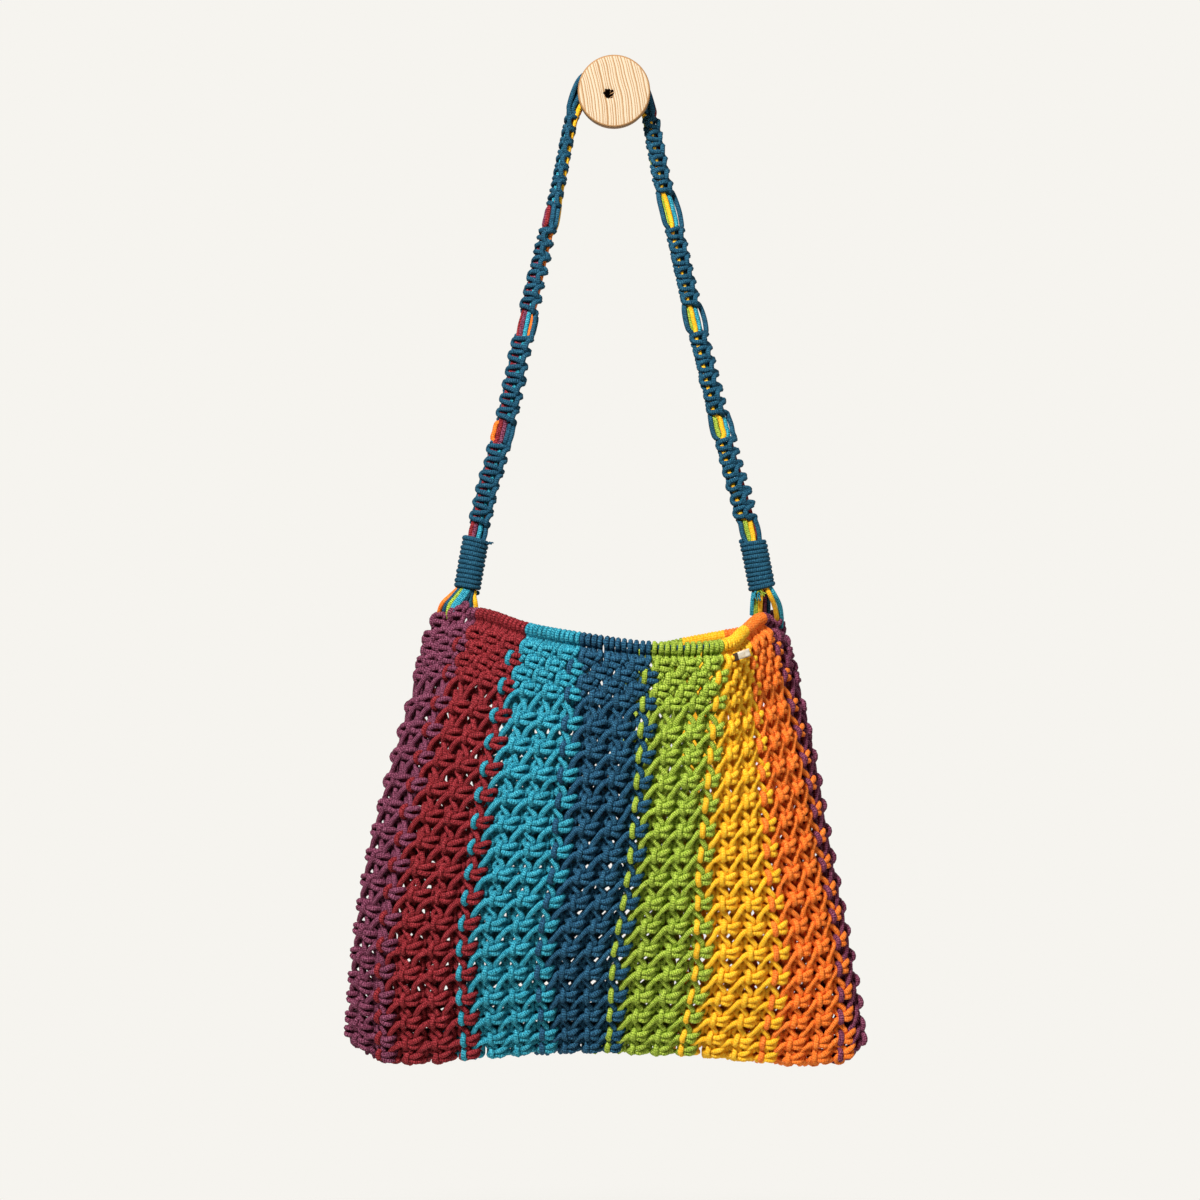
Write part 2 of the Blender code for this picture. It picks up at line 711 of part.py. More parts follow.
def turned_piece(name, outline, sides, centre):
    """A solid turned about the depth axis from (radius, depth) steps, back to front."""
    body = bmesh.new()
    rings = []
    for radius, depth in outline:
        ring = []
        for k in range(sides):
            angle = 2 * math.pi * k / sides
            ring.append(body.verts.new((centre[0] + radius * math.cos(angle), -depth,
                                        centre[1] + radius * math.sin(angle))))
        rings.append(ring)
    for back, front in zip(rings, rings[1:]):
        for k in range(sides):
            after = (k + 1) % sides
            body.faces.new((back[k], back[after], front[after], front[k]))
    body.faces.new(rings[0])
    body.faces.new(rings[-1])
    bmesh.ops.recalc_face_normals(body, faces=body.faces)
    mesh = bpy.data.meshes.new(name)
    body.to_mesh(mesh)
    body.free()
    return mesh


def build_knob():
    """Neck and disc turned from one piece, with a blind screw hole a little off their centre."""
    pine = material("pine", PINE_ROUGHNESS)
    disc_back = DISC_FRONT - DISC_THICKNESS
    outline = (
        (NECK_RADIUS, 0.0),
        (NECK_RADIUS, disc_back - NECK_ROOT_EDGE),
        (NECK_RADIUS + NECK_ROOT_EDGE, disc_back),
        (DISC_RADIUS - KNOB_EDGE, disc_back),
        (DISC_RADIUS, disc_back + KNOB_EDGE),
        (DISC_RADIUS, DISC_FRONT - KNOB_EDGE),
        (DISC_RADIUS - KNOB_EDGE, DISC_FRONT),
    )
    turned = turned_piece("wall_knob", outline, KNOB_SIDES, KNOB_CENTRE)
    knob = add_object("wall_knob", turned, [pine], SMOOTH_ANGLE)
    bore = ((SCREW_HOLE_RADIUS, DISC_FRONT - SCREW_HOLE_DEPTH),
            (SCREW_HOLE_RADIUS, DISC_FRONT + DISC_THICKNESS))
    hole = turned_piece("screw_hole", bore, SCREW_HOLE_SIDES, (0.0, 0.0))
    combine(knob, add_object("screw_hole", hole, [pine]), "DIFFERENCE")
    return knob


# Tag

def build_tag():
    """A small bare plate, held by its left end, that stands off the yellow band under the rim."""
    point, out, down = net_frame(TAG_COLUMN, TAG_DOWN)
    face = Vector((math.sin(TAG_TURN), -math.cos(TAG_TURN), 0.0))
    level = Vector((math.cos(TAG_TURN), math.sin(TAG_TURN), 0.0))
    wide = level * math.cos(TAG_TILT) + Vector((0.0, 0.0, math.sin(TAG_TILT)))
    tall = face.cross(wide)
    left_end = point + out * (DENSE_HALF + GAP + TAG_STAND)
    points = []
    for lift in (0.0, TAG_THICKNESS):
        for reach, rise in ((0, -1), (1, -1), (1, 1), (0, 1)):
            points.append(left_end + face * lift + wide * (reach * TAG_WIDTH)
                          + tall * (rise * TAG_HEIGHT / 2))
    faces = [(0, 1, 2, 3), (4, 5, 6, 7), (0, 1, 5, 4), (1, 2, 6, 5), (2, 3, 7, 6), (3, 0, 4, 7)]
    tag = material("tag", TAG_ROUGHNESS)
    return add_object("side_tag", mesh_from("side_tag", points, faces), [tag])


def main():
    for old in list(bpy.data.objects):
        bpy.data.objects.remove(old, do_unlink=True)
    build_knob()
    build_net()
    build_strap()
    build_wrap("wrap_left", LEFT_WRAP, True)
    build_wrap("wrap_right", RIGHT_WRAP, False)
    build_tag()


main()
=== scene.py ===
"""Looks of a knotted cord tote that hangs by its strap from a turned pine wall knob."""
from math import cos, pi, radians, sin

import bpy
import numpy as np
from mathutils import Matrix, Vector


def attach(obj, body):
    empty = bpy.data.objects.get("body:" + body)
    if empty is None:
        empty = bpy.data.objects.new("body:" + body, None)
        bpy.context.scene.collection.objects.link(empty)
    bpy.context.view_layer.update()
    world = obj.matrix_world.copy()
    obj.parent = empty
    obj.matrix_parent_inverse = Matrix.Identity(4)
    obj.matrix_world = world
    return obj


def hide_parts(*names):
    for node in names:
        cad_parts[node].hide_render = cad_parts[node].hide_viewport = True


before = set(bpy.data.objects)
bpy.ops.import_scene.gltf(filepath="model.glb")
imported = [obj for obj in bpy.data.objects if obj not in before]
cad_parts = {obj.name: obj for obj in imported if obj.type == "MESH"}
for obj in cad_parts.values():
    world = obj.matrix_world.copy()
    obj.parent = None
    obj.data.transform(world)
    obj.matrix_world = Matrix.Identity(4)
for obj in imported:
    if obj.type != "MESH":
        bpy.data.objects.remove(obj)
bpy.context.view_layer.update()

# Camera
# Square on to the wall from about two metres, level with the middle of the hanging bag.
CAMERA_PLACE = (-0.0072, -1.96, -0.4048)
LENS_MM = 71.3

camera = bpy.data.objects.new("camera", bpy.data.cameras.new("camera"))
camera.location = CAMERA_PLACE
camera.rotation_euler = (radians(90), 0, 0)
camera.data.lens = LENS_MM
camera.data.sensor_width = 36
bpy.context.scene.collection.objects.link(camera)
bpy.context.scene.camera = camera


# Net body
# 168 lengths of braided cotton cord, 4.3 mm thick, hang from the rim in fourteen bands of colour.
# Each column takes four of them and ties a square knot in every row: one cord crosses the front
# twice, one goes round the back and comes forward as an upright bump, two run straight through.
COLUMNS = 42
BAND_COLUMNS = 3
BAND_COLOURS = ("crimson", "turquoise", "petrol", "lime", "yellow", "orange", "plum",
                "orange", "yellow", "lime", "petrol", "turquoise", "crimson", "plum")

# Lines that run down the net: where its rim, its middle and its foot lie
# column, rim x, depth and z, middle x and depth, foot x, depth and z, sway three quarters down
NET_LINES = np.array((
    (0.0, -0.1008, 0.091, -0.4103, -0.1590, 0.095, -0.1770, 0.052, -0.777, -0.0020),
    (3.0, -0.0613, 0.125, -0.4216, -0.1003, 0.118, -0.1090, 0.054, -0.773, -0.0035),
    (6.0, -0.0209, 0.152, -0.4284, -0.0365, 0.127, -0.0485, 0.054, -0.769, -0.0072),
    (9.0, 0.0322, 0.160, -0.4351, 0.0213, 0.129, 0.0035, 0.054, -0.768, -0.0046),
    (12.0, 0.0858, 0.150, -0.4338, 0.0739, 0.125, 0.0630, 0.054, -0.770, 0.0048),
    (15.0, 0.1042, 0.110, -0.4235, 0.1240, 0.106, 0.1270, 0.053, -0.778, 0.0076),
    (18.0, 0.1198, 0.074, -0.4139, 0.1665, 0.066, 0.1900, 0.050, -0.776, 0.0030),
    (19.0, 0.1325, 0.049, -0.4195, 0.1720, 0.046, 0.2000, 0.041, -0.764, 0.0000),
    (21.0, 0.1270, 0.024, -0.4220, 0.1600, 0.021, 0.1600, 0.030, -0.779, 0.0000),
    (24.0, 0.0940, 0.0165, -0.4285, 0.1180, 0.0145, 0.1020, 0.029, -0.775, 0.0000),
    (27.0, 0.0600, 0.0128, -0.4350, 0.0660, 0.0123, 0.0440, 0.029, -0.770, 0.0000),
    (30.0, 0.0200, 0.0120, -0.4430, 0.0120, 0.0120, -0.0140, 0.029, -0.769, 0.0000),
    (33.0, -0.0300, 0.0122, -0.4450, -0.0460, 0.0125, -0.0720, 0.029, -0.771, 0.0000),
    (36.0, -0.0800, 0.0165, -0.4385, -0.1080, 0.0155, -0.1300, 0.030, -0.775, 0.0000),
    (39.0, -0.1360, 0.052, -0.4190, -0.1720, 0.046, -0.1880, 0.032, -0.774, 0.0000),
    (40.0, -0.1300, 0.071, -0.4150, -0.1810, 0.070, -0.2090, 0.042, -0.759, 0.0000),
))
# Hills and hollows in the hanging net, and how far apart its slope is taken
RIPPLE = 0.0014
RIPPLE_AROUND = 5
RIPPLE_DOWN = 2.5
SLOPE_STEP = 0.02

# How far down the net each row of knots sits: rows one to four are dense, the others open
KNOT_ROWS = ([0.055, 0.084, 0.1125, 0.1425] + [0.2076 + 0.0578 * row for row in range(12)]
             + [0.893, 0.943, 0.977])
DENSE_ROWS = 4
# Columns whose cords start in a knot of their own instead of over the rim, and how far down
PICOT_PLACES = {19: 0.010, 20: 0.022, 40: 0.018, 41: 0.010}
FRONT_COLUMNS = [41] + list(range(19))
SIDE_COLUMNS = (19, 40)
# The numbers of a back column and of the front column that it meets at the foot add up to this
OPPOSITE = 80
# The open rows of the back hang half a row lower than the front's
BACK_FIRST = 19
BACK_LAST = 41
# Columns over which the back's rows sink from the front's height
BACK_BLEND = 4
BACK_DROP = [0.0] * 4 + [0.029] * 12 + [0.017, 0.007, 0.0]

# The four cords of a knot, each with its way through it
# millimetres to the right, down and outwards from the middle of a knot on a 20.3 mm column
DRAWN_COLUMN = 20.3
DRAWN_ROW = 20.5
# Knots are drawn narrower on narrow columns, within these shares, and columns measured this far
# to each side
NARROWEST = 0.55
WIDEST = 1.05
PITCH_REACH = 0.25
KNOT_WAYS = {
    "bar": ((-6.6, -2.6, 0.3), (-4.4, -1.9, 1.0), (-2.0, -2.2, 4.8), (1.2, -2.8, 6.1),
            (4.2, -3.4, 4.0), (5.9, -2.9, 0.4), (6.6, -0.6, -1.0), (5.7, 1.7, 0.1), (3.6, 3.1, 4.2),
            (0.4, 2.6, 6.0), (-2.6, 2.1, 4.8), (-4.7, 1.7, 1.0), (-7.2, 1.5, 2.0)),
    "open_bar": ((-6.6, -2.6, 0.3), (-4.7, -1.0, 1.6), (-1.8, -1.4, 4.6), (1.2, -2.9, 5.6),
                 (4.2, -4.1, 4.4), (6.4, -4.2, 0.6), (6.3, -1.6, -2.6), (5.8, 1.5, -0.8),
                 (3.8, 2.9, 3.2), (0.8, 2.5, 5.2), (-2.2, 1.8, 4.4), (-4.9, 1.6, 1.6),
                 (-7.2, 1.5, 2.0)),
    "core_left": ((-2.1, -3.4, 0.9), (-2.15, 0.0, 0.1), (-2.1, 3.6, -0.4)),
    "core_right": ((2.1, -3.4, 0.9), (2.15, 0.0, 0.1), (2.1, 3.6, -0.4)),
    "bump": ((8.3, -3.6, 3.3), (6.7, -1.0, 3.6), (4.8, 0.2, 0.8), (3.6, -0.6, -3.0),
             (0.0, -2.0, -4.4), (-3.4, -3.3, -3.2), (-5.2, -4.9, 0.2), (-5.5, -4.4, 3.9),
             (-5.6, -1.7, 6.1), (-5.6, 1.7, 6.1), (-5.5, 4.6, 3.9), (-5.2, 5.2, 0.2),
             (-3.4, 3.8, -3.0), (0.0, 2.6, -4.4), (3.6, 1.6, -3.0), (5.4, 1.9, 0.2),
             (6.4, 2.6, 1.6)),
    "open_bump": ((8.9, -3.2, -1.8), (8.5, -0.4, -2.2), (6.6, 1.2, -3.4), (3.6, 0.0, -4.6),
                  (0.0, -1.8, -5.0), (-3.4, -3.2, -3.2), (-4.9, -4.2, 0.2), (-5.3, -3.8, 4.2),
                  (-6.0, -1.4, 6.1), (-6.0, 1.4, 6.1), (-5.3, 3.9, 4.2), (-4.9, 4.4, 0.2),
                  (-3.4, 3.6, -3.0), (0.0, 2.6, -4.4), (3.6, 2.2, -3.2), (5.6, 2.8, -1.0),
                  (6.8, 3.0, 0.4)),
}
ROLES = ("bar", "core_left", "core_right", "bump")

# Dense rows sit half a column aside from each other: columns to the next knot, and part there
DENSE_LINKS = {"bar": (-0.5, "core_right"), "core_left": (-0.5, "bump"),
               "core_right": (0.5, "bar"), "bump": (0.5, "core_left")}

# Open rows sit below each other, and the outer cords change places with the neighbours'
# points after this knot, columns to the next knot, points before that knot, part there
OPEN_LINKS = {
    "bar": (((-9.8, 2.3, 3.4),), -1, ((6.3, -14.1, 3.9), (3.7, -9.5, 3.6), (2.5, -5.6, 2.4)),
            "core_right"),
    "core_left": (((-2.6, 6.2, -1.4),), 0,
                  ((-5.8, -10.4, -2.2), (-8.2, -8.4, -1.8), (-8.7, -5.4, -0.8)), "bar"),
    "core_right": (((2.6, 6.2, -1.4),), 0,
                   ((5.6, -10.6, -2.6), (8.0, -8.6, -2.4), (8.9, -6.0, -2.0)), "bump"),
    "bump": (((9.2, 3.2, -0.2),), 1,
             ((-8.2, -14.6, 0.4), (-4.0, -10.2, 2.0), (-1.3, -6.4, 2.7)), "core_left"),
}

# Loops of cord that top the plum sides, and those that close the foot of the front
PICOT_LOOPS = {
    "bar": ((0.0, -8.6, 0.6), (-4.0, -7.4, 0.4)),
    "core_left": ((0.0, -6.2, -1.2), (-1.9, -5.2, -0.2)),
    "core_right": ((0.0, -6.2, -1.2), (1.9, -5.2, -0.2)),
    "bump": ((0.0, -8.6, 0.6), (4.6, -7.6, 1.4)),
}
FOOT_LOOPS = {
    "bar": ((-8.4, 4.4, 0.4), (-7.4, 7.2, -1.6), (-5.0, 8.6, -2.5)),
    "core_left": ((-1.9, 6.0, -1.4), (-2.8, 8.0, -2.2), (-5.0, 8.6, -2.5)),
    "core_right": ((1.9, 5.2, -1.4), (2.8, 6.6, -2.2), (4.8, 7.2, -2.5)),
    "bump": ((8.0, 4.2, 0.0), (7.2, 6.2, -1.6), (4.8, 7.2, -2.5)),
}
# Cords of the back pass under the foot and end inside the loops of the front
FOOT_ENDS = {
    "bar": ((5.8, 8.6, -8.0), (5.8, 6.6, -3.0), (5.6, 3.9, -0.8)),
    "core_left": ((3.6, 8.6, -8.0), (3.6, 6.8, -3.2), (3.7, 4.4, -1.0)),
    "core_right": ((-3.7, 9.4, -8.0), (-3.8, 7.4, -3.2), (-3.8, 4.8, -1.0)),
    "bump": ((-6.0, 9.4, -8.0), (-6.0, 7.2, -3.0), (-5.9, 4.4, -0.8)),
}

# Rim: each pair of cords is looped over a carrier cord, so it shows as upright turns
RIM_TURN_RADIUS = 3.5
RIM_TURN_DOWN = 5.7
# A cord starts inside the rim and leaves its turn below, millimetres down and outwards; turns
# stand a little aside of each other
RIM_START = (10.0, -3.3)
RIM_END = (11.8, -1.6)
RIM_WOBBLE = 0.22
RIM_TURN_POINTS = 8
# Way of the back's cords straight after their last knot, in metres
UNDER_FOOT = (0.0, -0.001, -0.0065)

# The cord is 4.3 mm thick; six-sided, it is that wide on average with corners at this radius
CORD_RADIUS = 0.00230
CORD_SIDES = 6
NET_RINGS = 340
# Rings stand closer where a cord bends: metres that one unit of bend counts for, and how finely
# the bend is taken between two points of a way
BEND_WEIGHT = 0.0035
FINE_STEPS = 8
# Any direction that no cord starts in, from which its corners are counted
CORNER_GUIDE = (0.31, 0.84, 0.44)
# Strips of the painted texture: first and share used, across and along; long cords take two
STRIP_ACROSS = (0.06, 0.88)
STRIP_ALONG = (0.005, 0.99)
LONG_CORD_RINGS = 100
POINT_JITTER = 0.16
KNOT_SHIFT = 0.28
KNOT_TILT = radians(3.0)
MM = 0.001

# Cord colours: darker flecks and painted shade in the plait's hollows, over all, and paler fibres with
# painted highlight on the raised plait
COTTON_COLOURS = {
    "plum": ("#280C18", "#64203B", "#AC6680"),
    "crimson": ("#2E0407", "#780C15", "#BC484E"),
    "turquoise": ("#023E4C", "#06849E", "#62CCDC"),
    "petrol": ("#041B2D", "#0C3F5D", "#437E9C"),
    "lime": ("#3C4E0A", "#8CAA26", "#D4E268"),
    "yellow": ("#E89000", "#FFBC13", "#FFDC50"),
    "orange": ("#C24408", "#FC7919", "#FFA050"),
    "teal": ("#06273A", "#0D445D", "#38728A"),
}
# Heights of the relief at which the three colours stand, so that low places get painted shade and high
# places painted highlight, and the plait's share in it
TONE_STOPS = (0.32, 0.46, 0.72)
PLAIT_SHARE = 0.17
PLAITS_ROUND = 5
# Flecks and patches of dye, to the metre, and how dark and how light the dye gets
FLECKS = 820.0
DYE_PATCHES = 45.0
DYE_RANGE = (0.90, 1.08)
COTTON_ROUGHNESS = 0.85
COTTON_IOR = 1.5


def linear(code):
    """An sRGB hex colour as linear red, green, blue and full cover."""
    parts = [int(code[i:i + 2], 16) / 255 for i in (1, 3, 5)]
    return tuple(p / 12.92 if p <= 0.04045 else ((p + 0.055) / 1.055) ** 2.4 for p in parts) + (1,)


def add_node(tree, kind, inputs=None, **settings):
    """A node with its settings; each input is a fixed value or another node's output."""
    node = tree.nodes.new(kind)
    for name, value in settings.items():
        setattr(node, name, value)
    for socket, value in (inputs or {}).items():
        if isinstance(value, bpy.types.NodeSocket):
            tree.links.new(value, node.inputs[socket])
        else:
            node.inputs[socket].default_value = value
    return node


def new_material(name):
    """An empty node material with its shader, both ready to be filled."""
    made = bpy.data.materials.new(name)
    made.use_nodes = True
    tree = made.node_tree
    tree.nodes.clear()
    shader = add_node(tree, "ShaderNodeBsdfPrincipled")
    add_node(tree, "ShaderNodeOutputMaterial", {0: shader.outputs[0]})
    return made, tree, shader


def braided_cotton(name):
    """Braided cotton cord: matt, with a fine slanting plait, flecks of paler and darker fibre with painted
    shade in the plait's hollows and painted highlight on its raised strands, and a soft fuzz.
    """
    dark_fleck_and_painted_shade, body, pale_fibre_and_painted_highlight = (linear(code) for code in COTTON_COLOURS[name])
    made, tree, shader = new_material(name + "_braided_cotton")
    # The plait's strands slant both ways round the cord, drawn 1.4 mm wide, coarser than real ones
    way = add_node(tree, "ShaderNodeUVMap", uv_map="braid")
    split = add_node(tree, "ShaderNodeSeparateXYZ", {0: way.outputs[0]})
    rising = add_node(tree, "ShaderNodeMath", {0: split.outputs[0], 1: split.outputs[1]},
                      operation="ADD")
    falling = add_node(tree, "ShaderNodeMath", {0: split.outputs[0], 1: split.outputs[1]},
                       operation="SUBTRACT")
    plait_scale = 2 * pi / (2 * pi * CORD_RADIUS / PLAITS_ROUND)
    waves = []
    for slant in (rising, falling):
        turn = add_node(tree, "ShaderNodeMath", {0: slant.outputs[0], 1: plait_scale},
                        operation="MULTIPLY")
        waves.append(add_node(tree, "ShaderNodeMath", {0: turn.outputs[0]}, operation="SINE"))
    plait = add_node(tree, "ShaderNodeMath", {0: waves[0].outputs[0], 1: waves[1].outputs[0]},
                     operation="MULTIPLY")
    # Flecks of raised fibre, drawn 1.2 mm apart so that they show
    place = add_node(tree, "ShaderNodeTexCoord")
    fibres = add_node(tree, "ShaderNodeTexNoise",
                      {"Vector": place.outputs["Object"], "Scale": FLECKS, "Detail": 3.0,
                       "Roughness": 0.75})
    # Dye that took more or less over a few centimetres
    dye = add_node(tree, "ShaderNodeTexNoise",
                   {"Vector": place.outputs["Object"], "Scale": DYE_PATCHES, "Detail": 2.0})
    height = add_node(tree, "ShaderNodeMath",
                      {0: plait.outputs[0], 1: PLAIT_SHARE, 2: fibres.outputs[0]},
                      operation="MULTIPLY_ADD")
    # Low relief takes the dark colour as painted shade, high relief the pale one as painted highlight
    tone = add_node(tree, "ShaderNodeValToRGB", {0: height.outputs[0]})
    ramp = tone.color_ramp
    ramp.elements[0].position = TONE_STOPS[0]
    ramp.elements[0].color = dark_fleck_and_painted_shade
    ramp.elements[1].position = TONE_STOPS[2]
    ramp.elements[1].color = pale_fibre_and_painted_highlight
    middle = ramp.elements.new(TONE_STOPS[1])
    middle.color = body
    worn = add_node(tree, "ShaderNodeMapRange",
                    {0: dye.outputs[0], 1: 0.3, 2: 0.7, 3: DYE_RANGE[0], 4: DYE_RANGE[1]})
    coloured = add_node(tree, "ShaderNodeHueSaturation",
                        {"Value": worn.outputs[0], "Color": tone.outputs[0]})
    relief = add_node(tree, "ShaderNodeBump",
                      {"Strength": 0.9, "Distance": 0.0007, "Height": height.outputs[0]})
    tree.links.new(coloured.outputs[0], shader.inputs["Base Color"])
    tree.links.new(relief.outputs[0], shader.inputs["Normal"])
    shader.inputs["Roughness"].default_value = COTTON_ROUGHNESS
    shader.inputs["IOR"].default_value = COTTON_IOR
    shader.inputs["Specular IOR Level"].default_value = 0.2
    shader.inputs["Sheen Weight"].default_value = 0.04
    shader.inputs["Sheen Roughness"].default_value = 0.6
    shader.inputs["Sheen Tint"].default_value = pale_fibre_and_painted_highlight
    return made


COTTON = {name: braided_cotton(name) for name in COTTON_COLOURS}
dice = np.random.default_rng(42)


def smooth_curve(stations, values, places):
    """Values at places on a smooth curve; the outer station at either end only sets the slope."""
    i = np.clip(np.searchsorted(stations, places, side="right") - 1, 1, len(stations) - 3)
    span = stations[i + 1] - stations[i]
    s = ((places - stations[i]) / span)[:, None]
    rise = span[:, None]
    before = (values[i + 1] - values[i - 1]) / (stations[i + 1] - stations[i - 1])[:, None] * rise
    after = (values[i + 2] - values[i]) / (stations[i + 2] - stations[i])[:, None] * rise
    return (values[i] * (2 * s**3 - 3 * s**2 + 1) + before * (s**3 - 2 * s**2 + s)
            + values[i + 1] * (3 * s**2 - 2 * s**3) + after * (s**3 - s**2))


LINE_PLACES = np.concatenate([NET_LINES[-3:, 0] - COLUMNS, NET_LINES[:, 0],
                              NET_LINES[:3, 0] + COLUMNS])
LINE_VALUES = np.concatenate([NET_LINES[-3:, 1:], NET_LINES[:, 1:], NET_LINES[:3, 1:]])


def net_surface(column, down):
    """Points half way through the net's wall: down is 0 at the rim's top and 1 at the foot."""
    line = smooth_curve(LINE_PLACES, LINE_VALUES, np.mod(column, COLUMNS))
    rim = np.stack([line[:, 0], -line[:, 1], line[:, 2]], axis=1)
    foot = np.stack([line[:, 5], -line[:, 6], line[:, 7]], axis=1)
    middle = np.stack([line[:, 3], -line[:, 4], (line[:, 2] + line[:, 7]) / 2], axis=1)
    d = down[:, None]
    hung = rim * (2 * (d - 0.5) * (d - 1)) + middle * (4 * d * (1 - d)) + foot * (2 * d * (d - 0.5))
    hung[:, 0] += line[:, 8] * np.sin(2 * pi * np.clip(down - 0.5, 0, 0.5)) ** 2
    return hung


def unit(vectors):
    """The same directions, one metre long."""
    return vectors / np.linalg.norm(vectors, axis=-1, keepdims=True)


def net_place(column, down, lift):
    """Points at a height outside the hanging surface, with the directions outwards and down."""
    across = (net_surface(column + SLOPE_STEP, down) - net_surface(column - SLOPE_STEP, down))
    along = (net_surface(column, down + SLOPE_STEP) - net_surface(column, down - SLOPE_STEP))
    out = unit(np.cross(along, across))
    swell = (RIPPLE * np.sin(2 * pi * RIPPLE_AROUND * column / COLUMNS)
             * np.sin(pi * RIPPLE_DOWN * np.clip(down, 0, 1)))
    return net_surface(column, down) + out * (swell + lift)[:, None], out, unit(along)


def knot_points(marks):
    """Points in space for rows of (knot column, knot place down, right, down, out, row step)."""
    marks = np.array(marks)
    column, down, right, drop, out, step = marks.T
    pitch = np.linalg.norm(net_surface(column + PITCH_REACH, down)
                           - net_surface(column - PITCH_REACH, down), axis=1) / (2 * PITCH_REACH) / MM
    length = np.linalg.norm(net_surface(column, down + SLOPE_STEP)
                            - net_surface(column, down - SLOPE_STEP), axis=1) / (2 * SLOPE_STEP) / MM
    narrow = np.clip(pitch / DRAWN_COLUMN, NARROWEST, WIDEST)
    stretch = np.where(step > 0, step * length / DRAWN_ROW, 1.0)
    return net_place(column + right * narrow / pitch, down + drop * stretch / length, out * MM)[0]


knot_lean = {}


def row_place(column, row):
    """How far down the net a row of knots sits at a column."""
    inside = np.clip(min(column % COLUMNS - BACK_FIRST, BACK_LAST - column % COLUMNS) / BACK_BLEND, 0, 1)
    return KNOT_ROWS[row] + BACK_DROP[row] * inside


def leaned(column, row, points, step=0.0):
    """A knot's own points, shifted and tilted a little as hand-tied knots are."""
    key = (round(2 * column) % (2 * COLUMNS), row)
    if key not in knot_lean:
        knot_lean[key] = (dice.normal(0, KNOT_SHIFT, 2), dice.normal(0, KNOT_TILT))
    shift, tilt = knot_lean[key]
    place = PICOT_PLACES[column] if row < 0 else row_place(column, row)
    marks = []
    for right, drop, out in points:
        jitter = dice.normal(0, POINT_JITTER, 3)
        marks.append((column, place, right * cos(tilt) - drop * sin(tilt) + shift[0] + jitter[0],
                      right * sin(tilt) + drop * cos(tilt) + shift[1] + jitter[1],
                      out + jitter[2] / 2, step))
    return marks


def net_strand(home, role):
    """The way of one cord, from its loop over the rim down to the foot."""
    picot = home + 1 if role in ("core_right", "bump") else home
    marks = []
    if picot in PICOT_PLACES:
        top_role = {"core_right": "bar", "bump": "core_left", "bar": "core_right",
                    "core_left": "bump"}[role]
        marks += leaned(picot, -1, PICOT_LOOPS[top_role])
        marks += leaned(picot, -1, KNOT_WAYS[top_role])
    else:
        place = home + (ROLES.index(role) + 0.5) / 4
        middle = home + (0.25 if role in ("bar", "core_left") else 0.75)
        marks.append((middle, 0.0, 0.0) + RIM_START + (0.0,))
        wobble = dice.normal(0, RIM_WOBBLE, 2)
        for k in range(RIM_TURN_POINTS):
            angle = radians(-45 + 45 * k)
            marks.append((place, 0.0, wobble[0], RIM_TURN_DOWN - RIM_TURN_RADIUS * sin(angle),
                          -RIM_TURN_RADIUS * cos(angle), 0.0))
        marks.append((place, 0.0, wobble[0] + wobble[1]) + RIM_END + (0.0,))
    column = home + 0.5
    for row in range(len(KNOT_ROWS)):
        opened = row >= DENSE_ROWS and "open_" + role in KNOT_WAYS
        marks += leaned(column, row, KNOT_WAYS["open_" + role if opened else role])
        if row + 1 == len(KNOT_ROWS):
            break
        if row + 1 < DENSE_ROWS:
            aside, role = DENSE_LINKS[role]
            column += aside
            continue
        step = row_place(column, row + 1) - row_place(column, row)
        after, aside, before, next_role = OPEN_LINKS[role]
        marks += leaned(column, row, after, step)
        column += aside
        marks += leaned(column, row + 1, before, step)
        role = next_role
    points = knot_points(marks)
    last = int(round(column)) % COLUMNS
    if last in FRONT_COLUMNS or last in SIDE_COLUMNS:
        return np.concatenate([points, knot_points(leaned(last, row, FOOT_LOOPS[role]))])
    ahead = knot_points(leaned((OPPOSITE - last) % COLUMNS, row, FOOT_ENDS[role]))
    below = points[-1] * 0.5 + ahead[0] * 0.5
    below[2] = ahead[0][2]
    under = points[-1] + np.array(UNDER_FOOT)
    return np.concatenate([points, [under, below], ahead])


def sampled(points, rings):
    """A smooth line through the points, cut into steps that are shorter where it bends."""
    reach = np.concatenate([[0], np.cumsum(np.linalg.norm(np.diff(points, axis=0), axis=1))])
    stations = np.concatenate([[reach[0]], reach, [reach[-1]]])
    values = np.concatenate([points[:1], points, points[-1:]])
    fine = np.linspace(0, reach[-1], FINE_STEPS * len(points))
    line = smooth_curve(stations, values, fine)
    step = np.linalg.norm(np.diff(line, axis=0), axis=1)
    way = np.diff(line, axis=0) / step[:, None]
    bend = np.zeros(len(step))
    bend[1:] = np.linalg.norm(np.diff(way, axis=0), axis=1)
    weight = step + BEND_WEIGHT * (bend + np.roll(bend, -1)) / 2
    total = np.concatenate([[0], np.cumsum(weight)])
    return smooth_curve(stations, values, np.interp(np.linspace(0, total[-1], rings), total, fine))


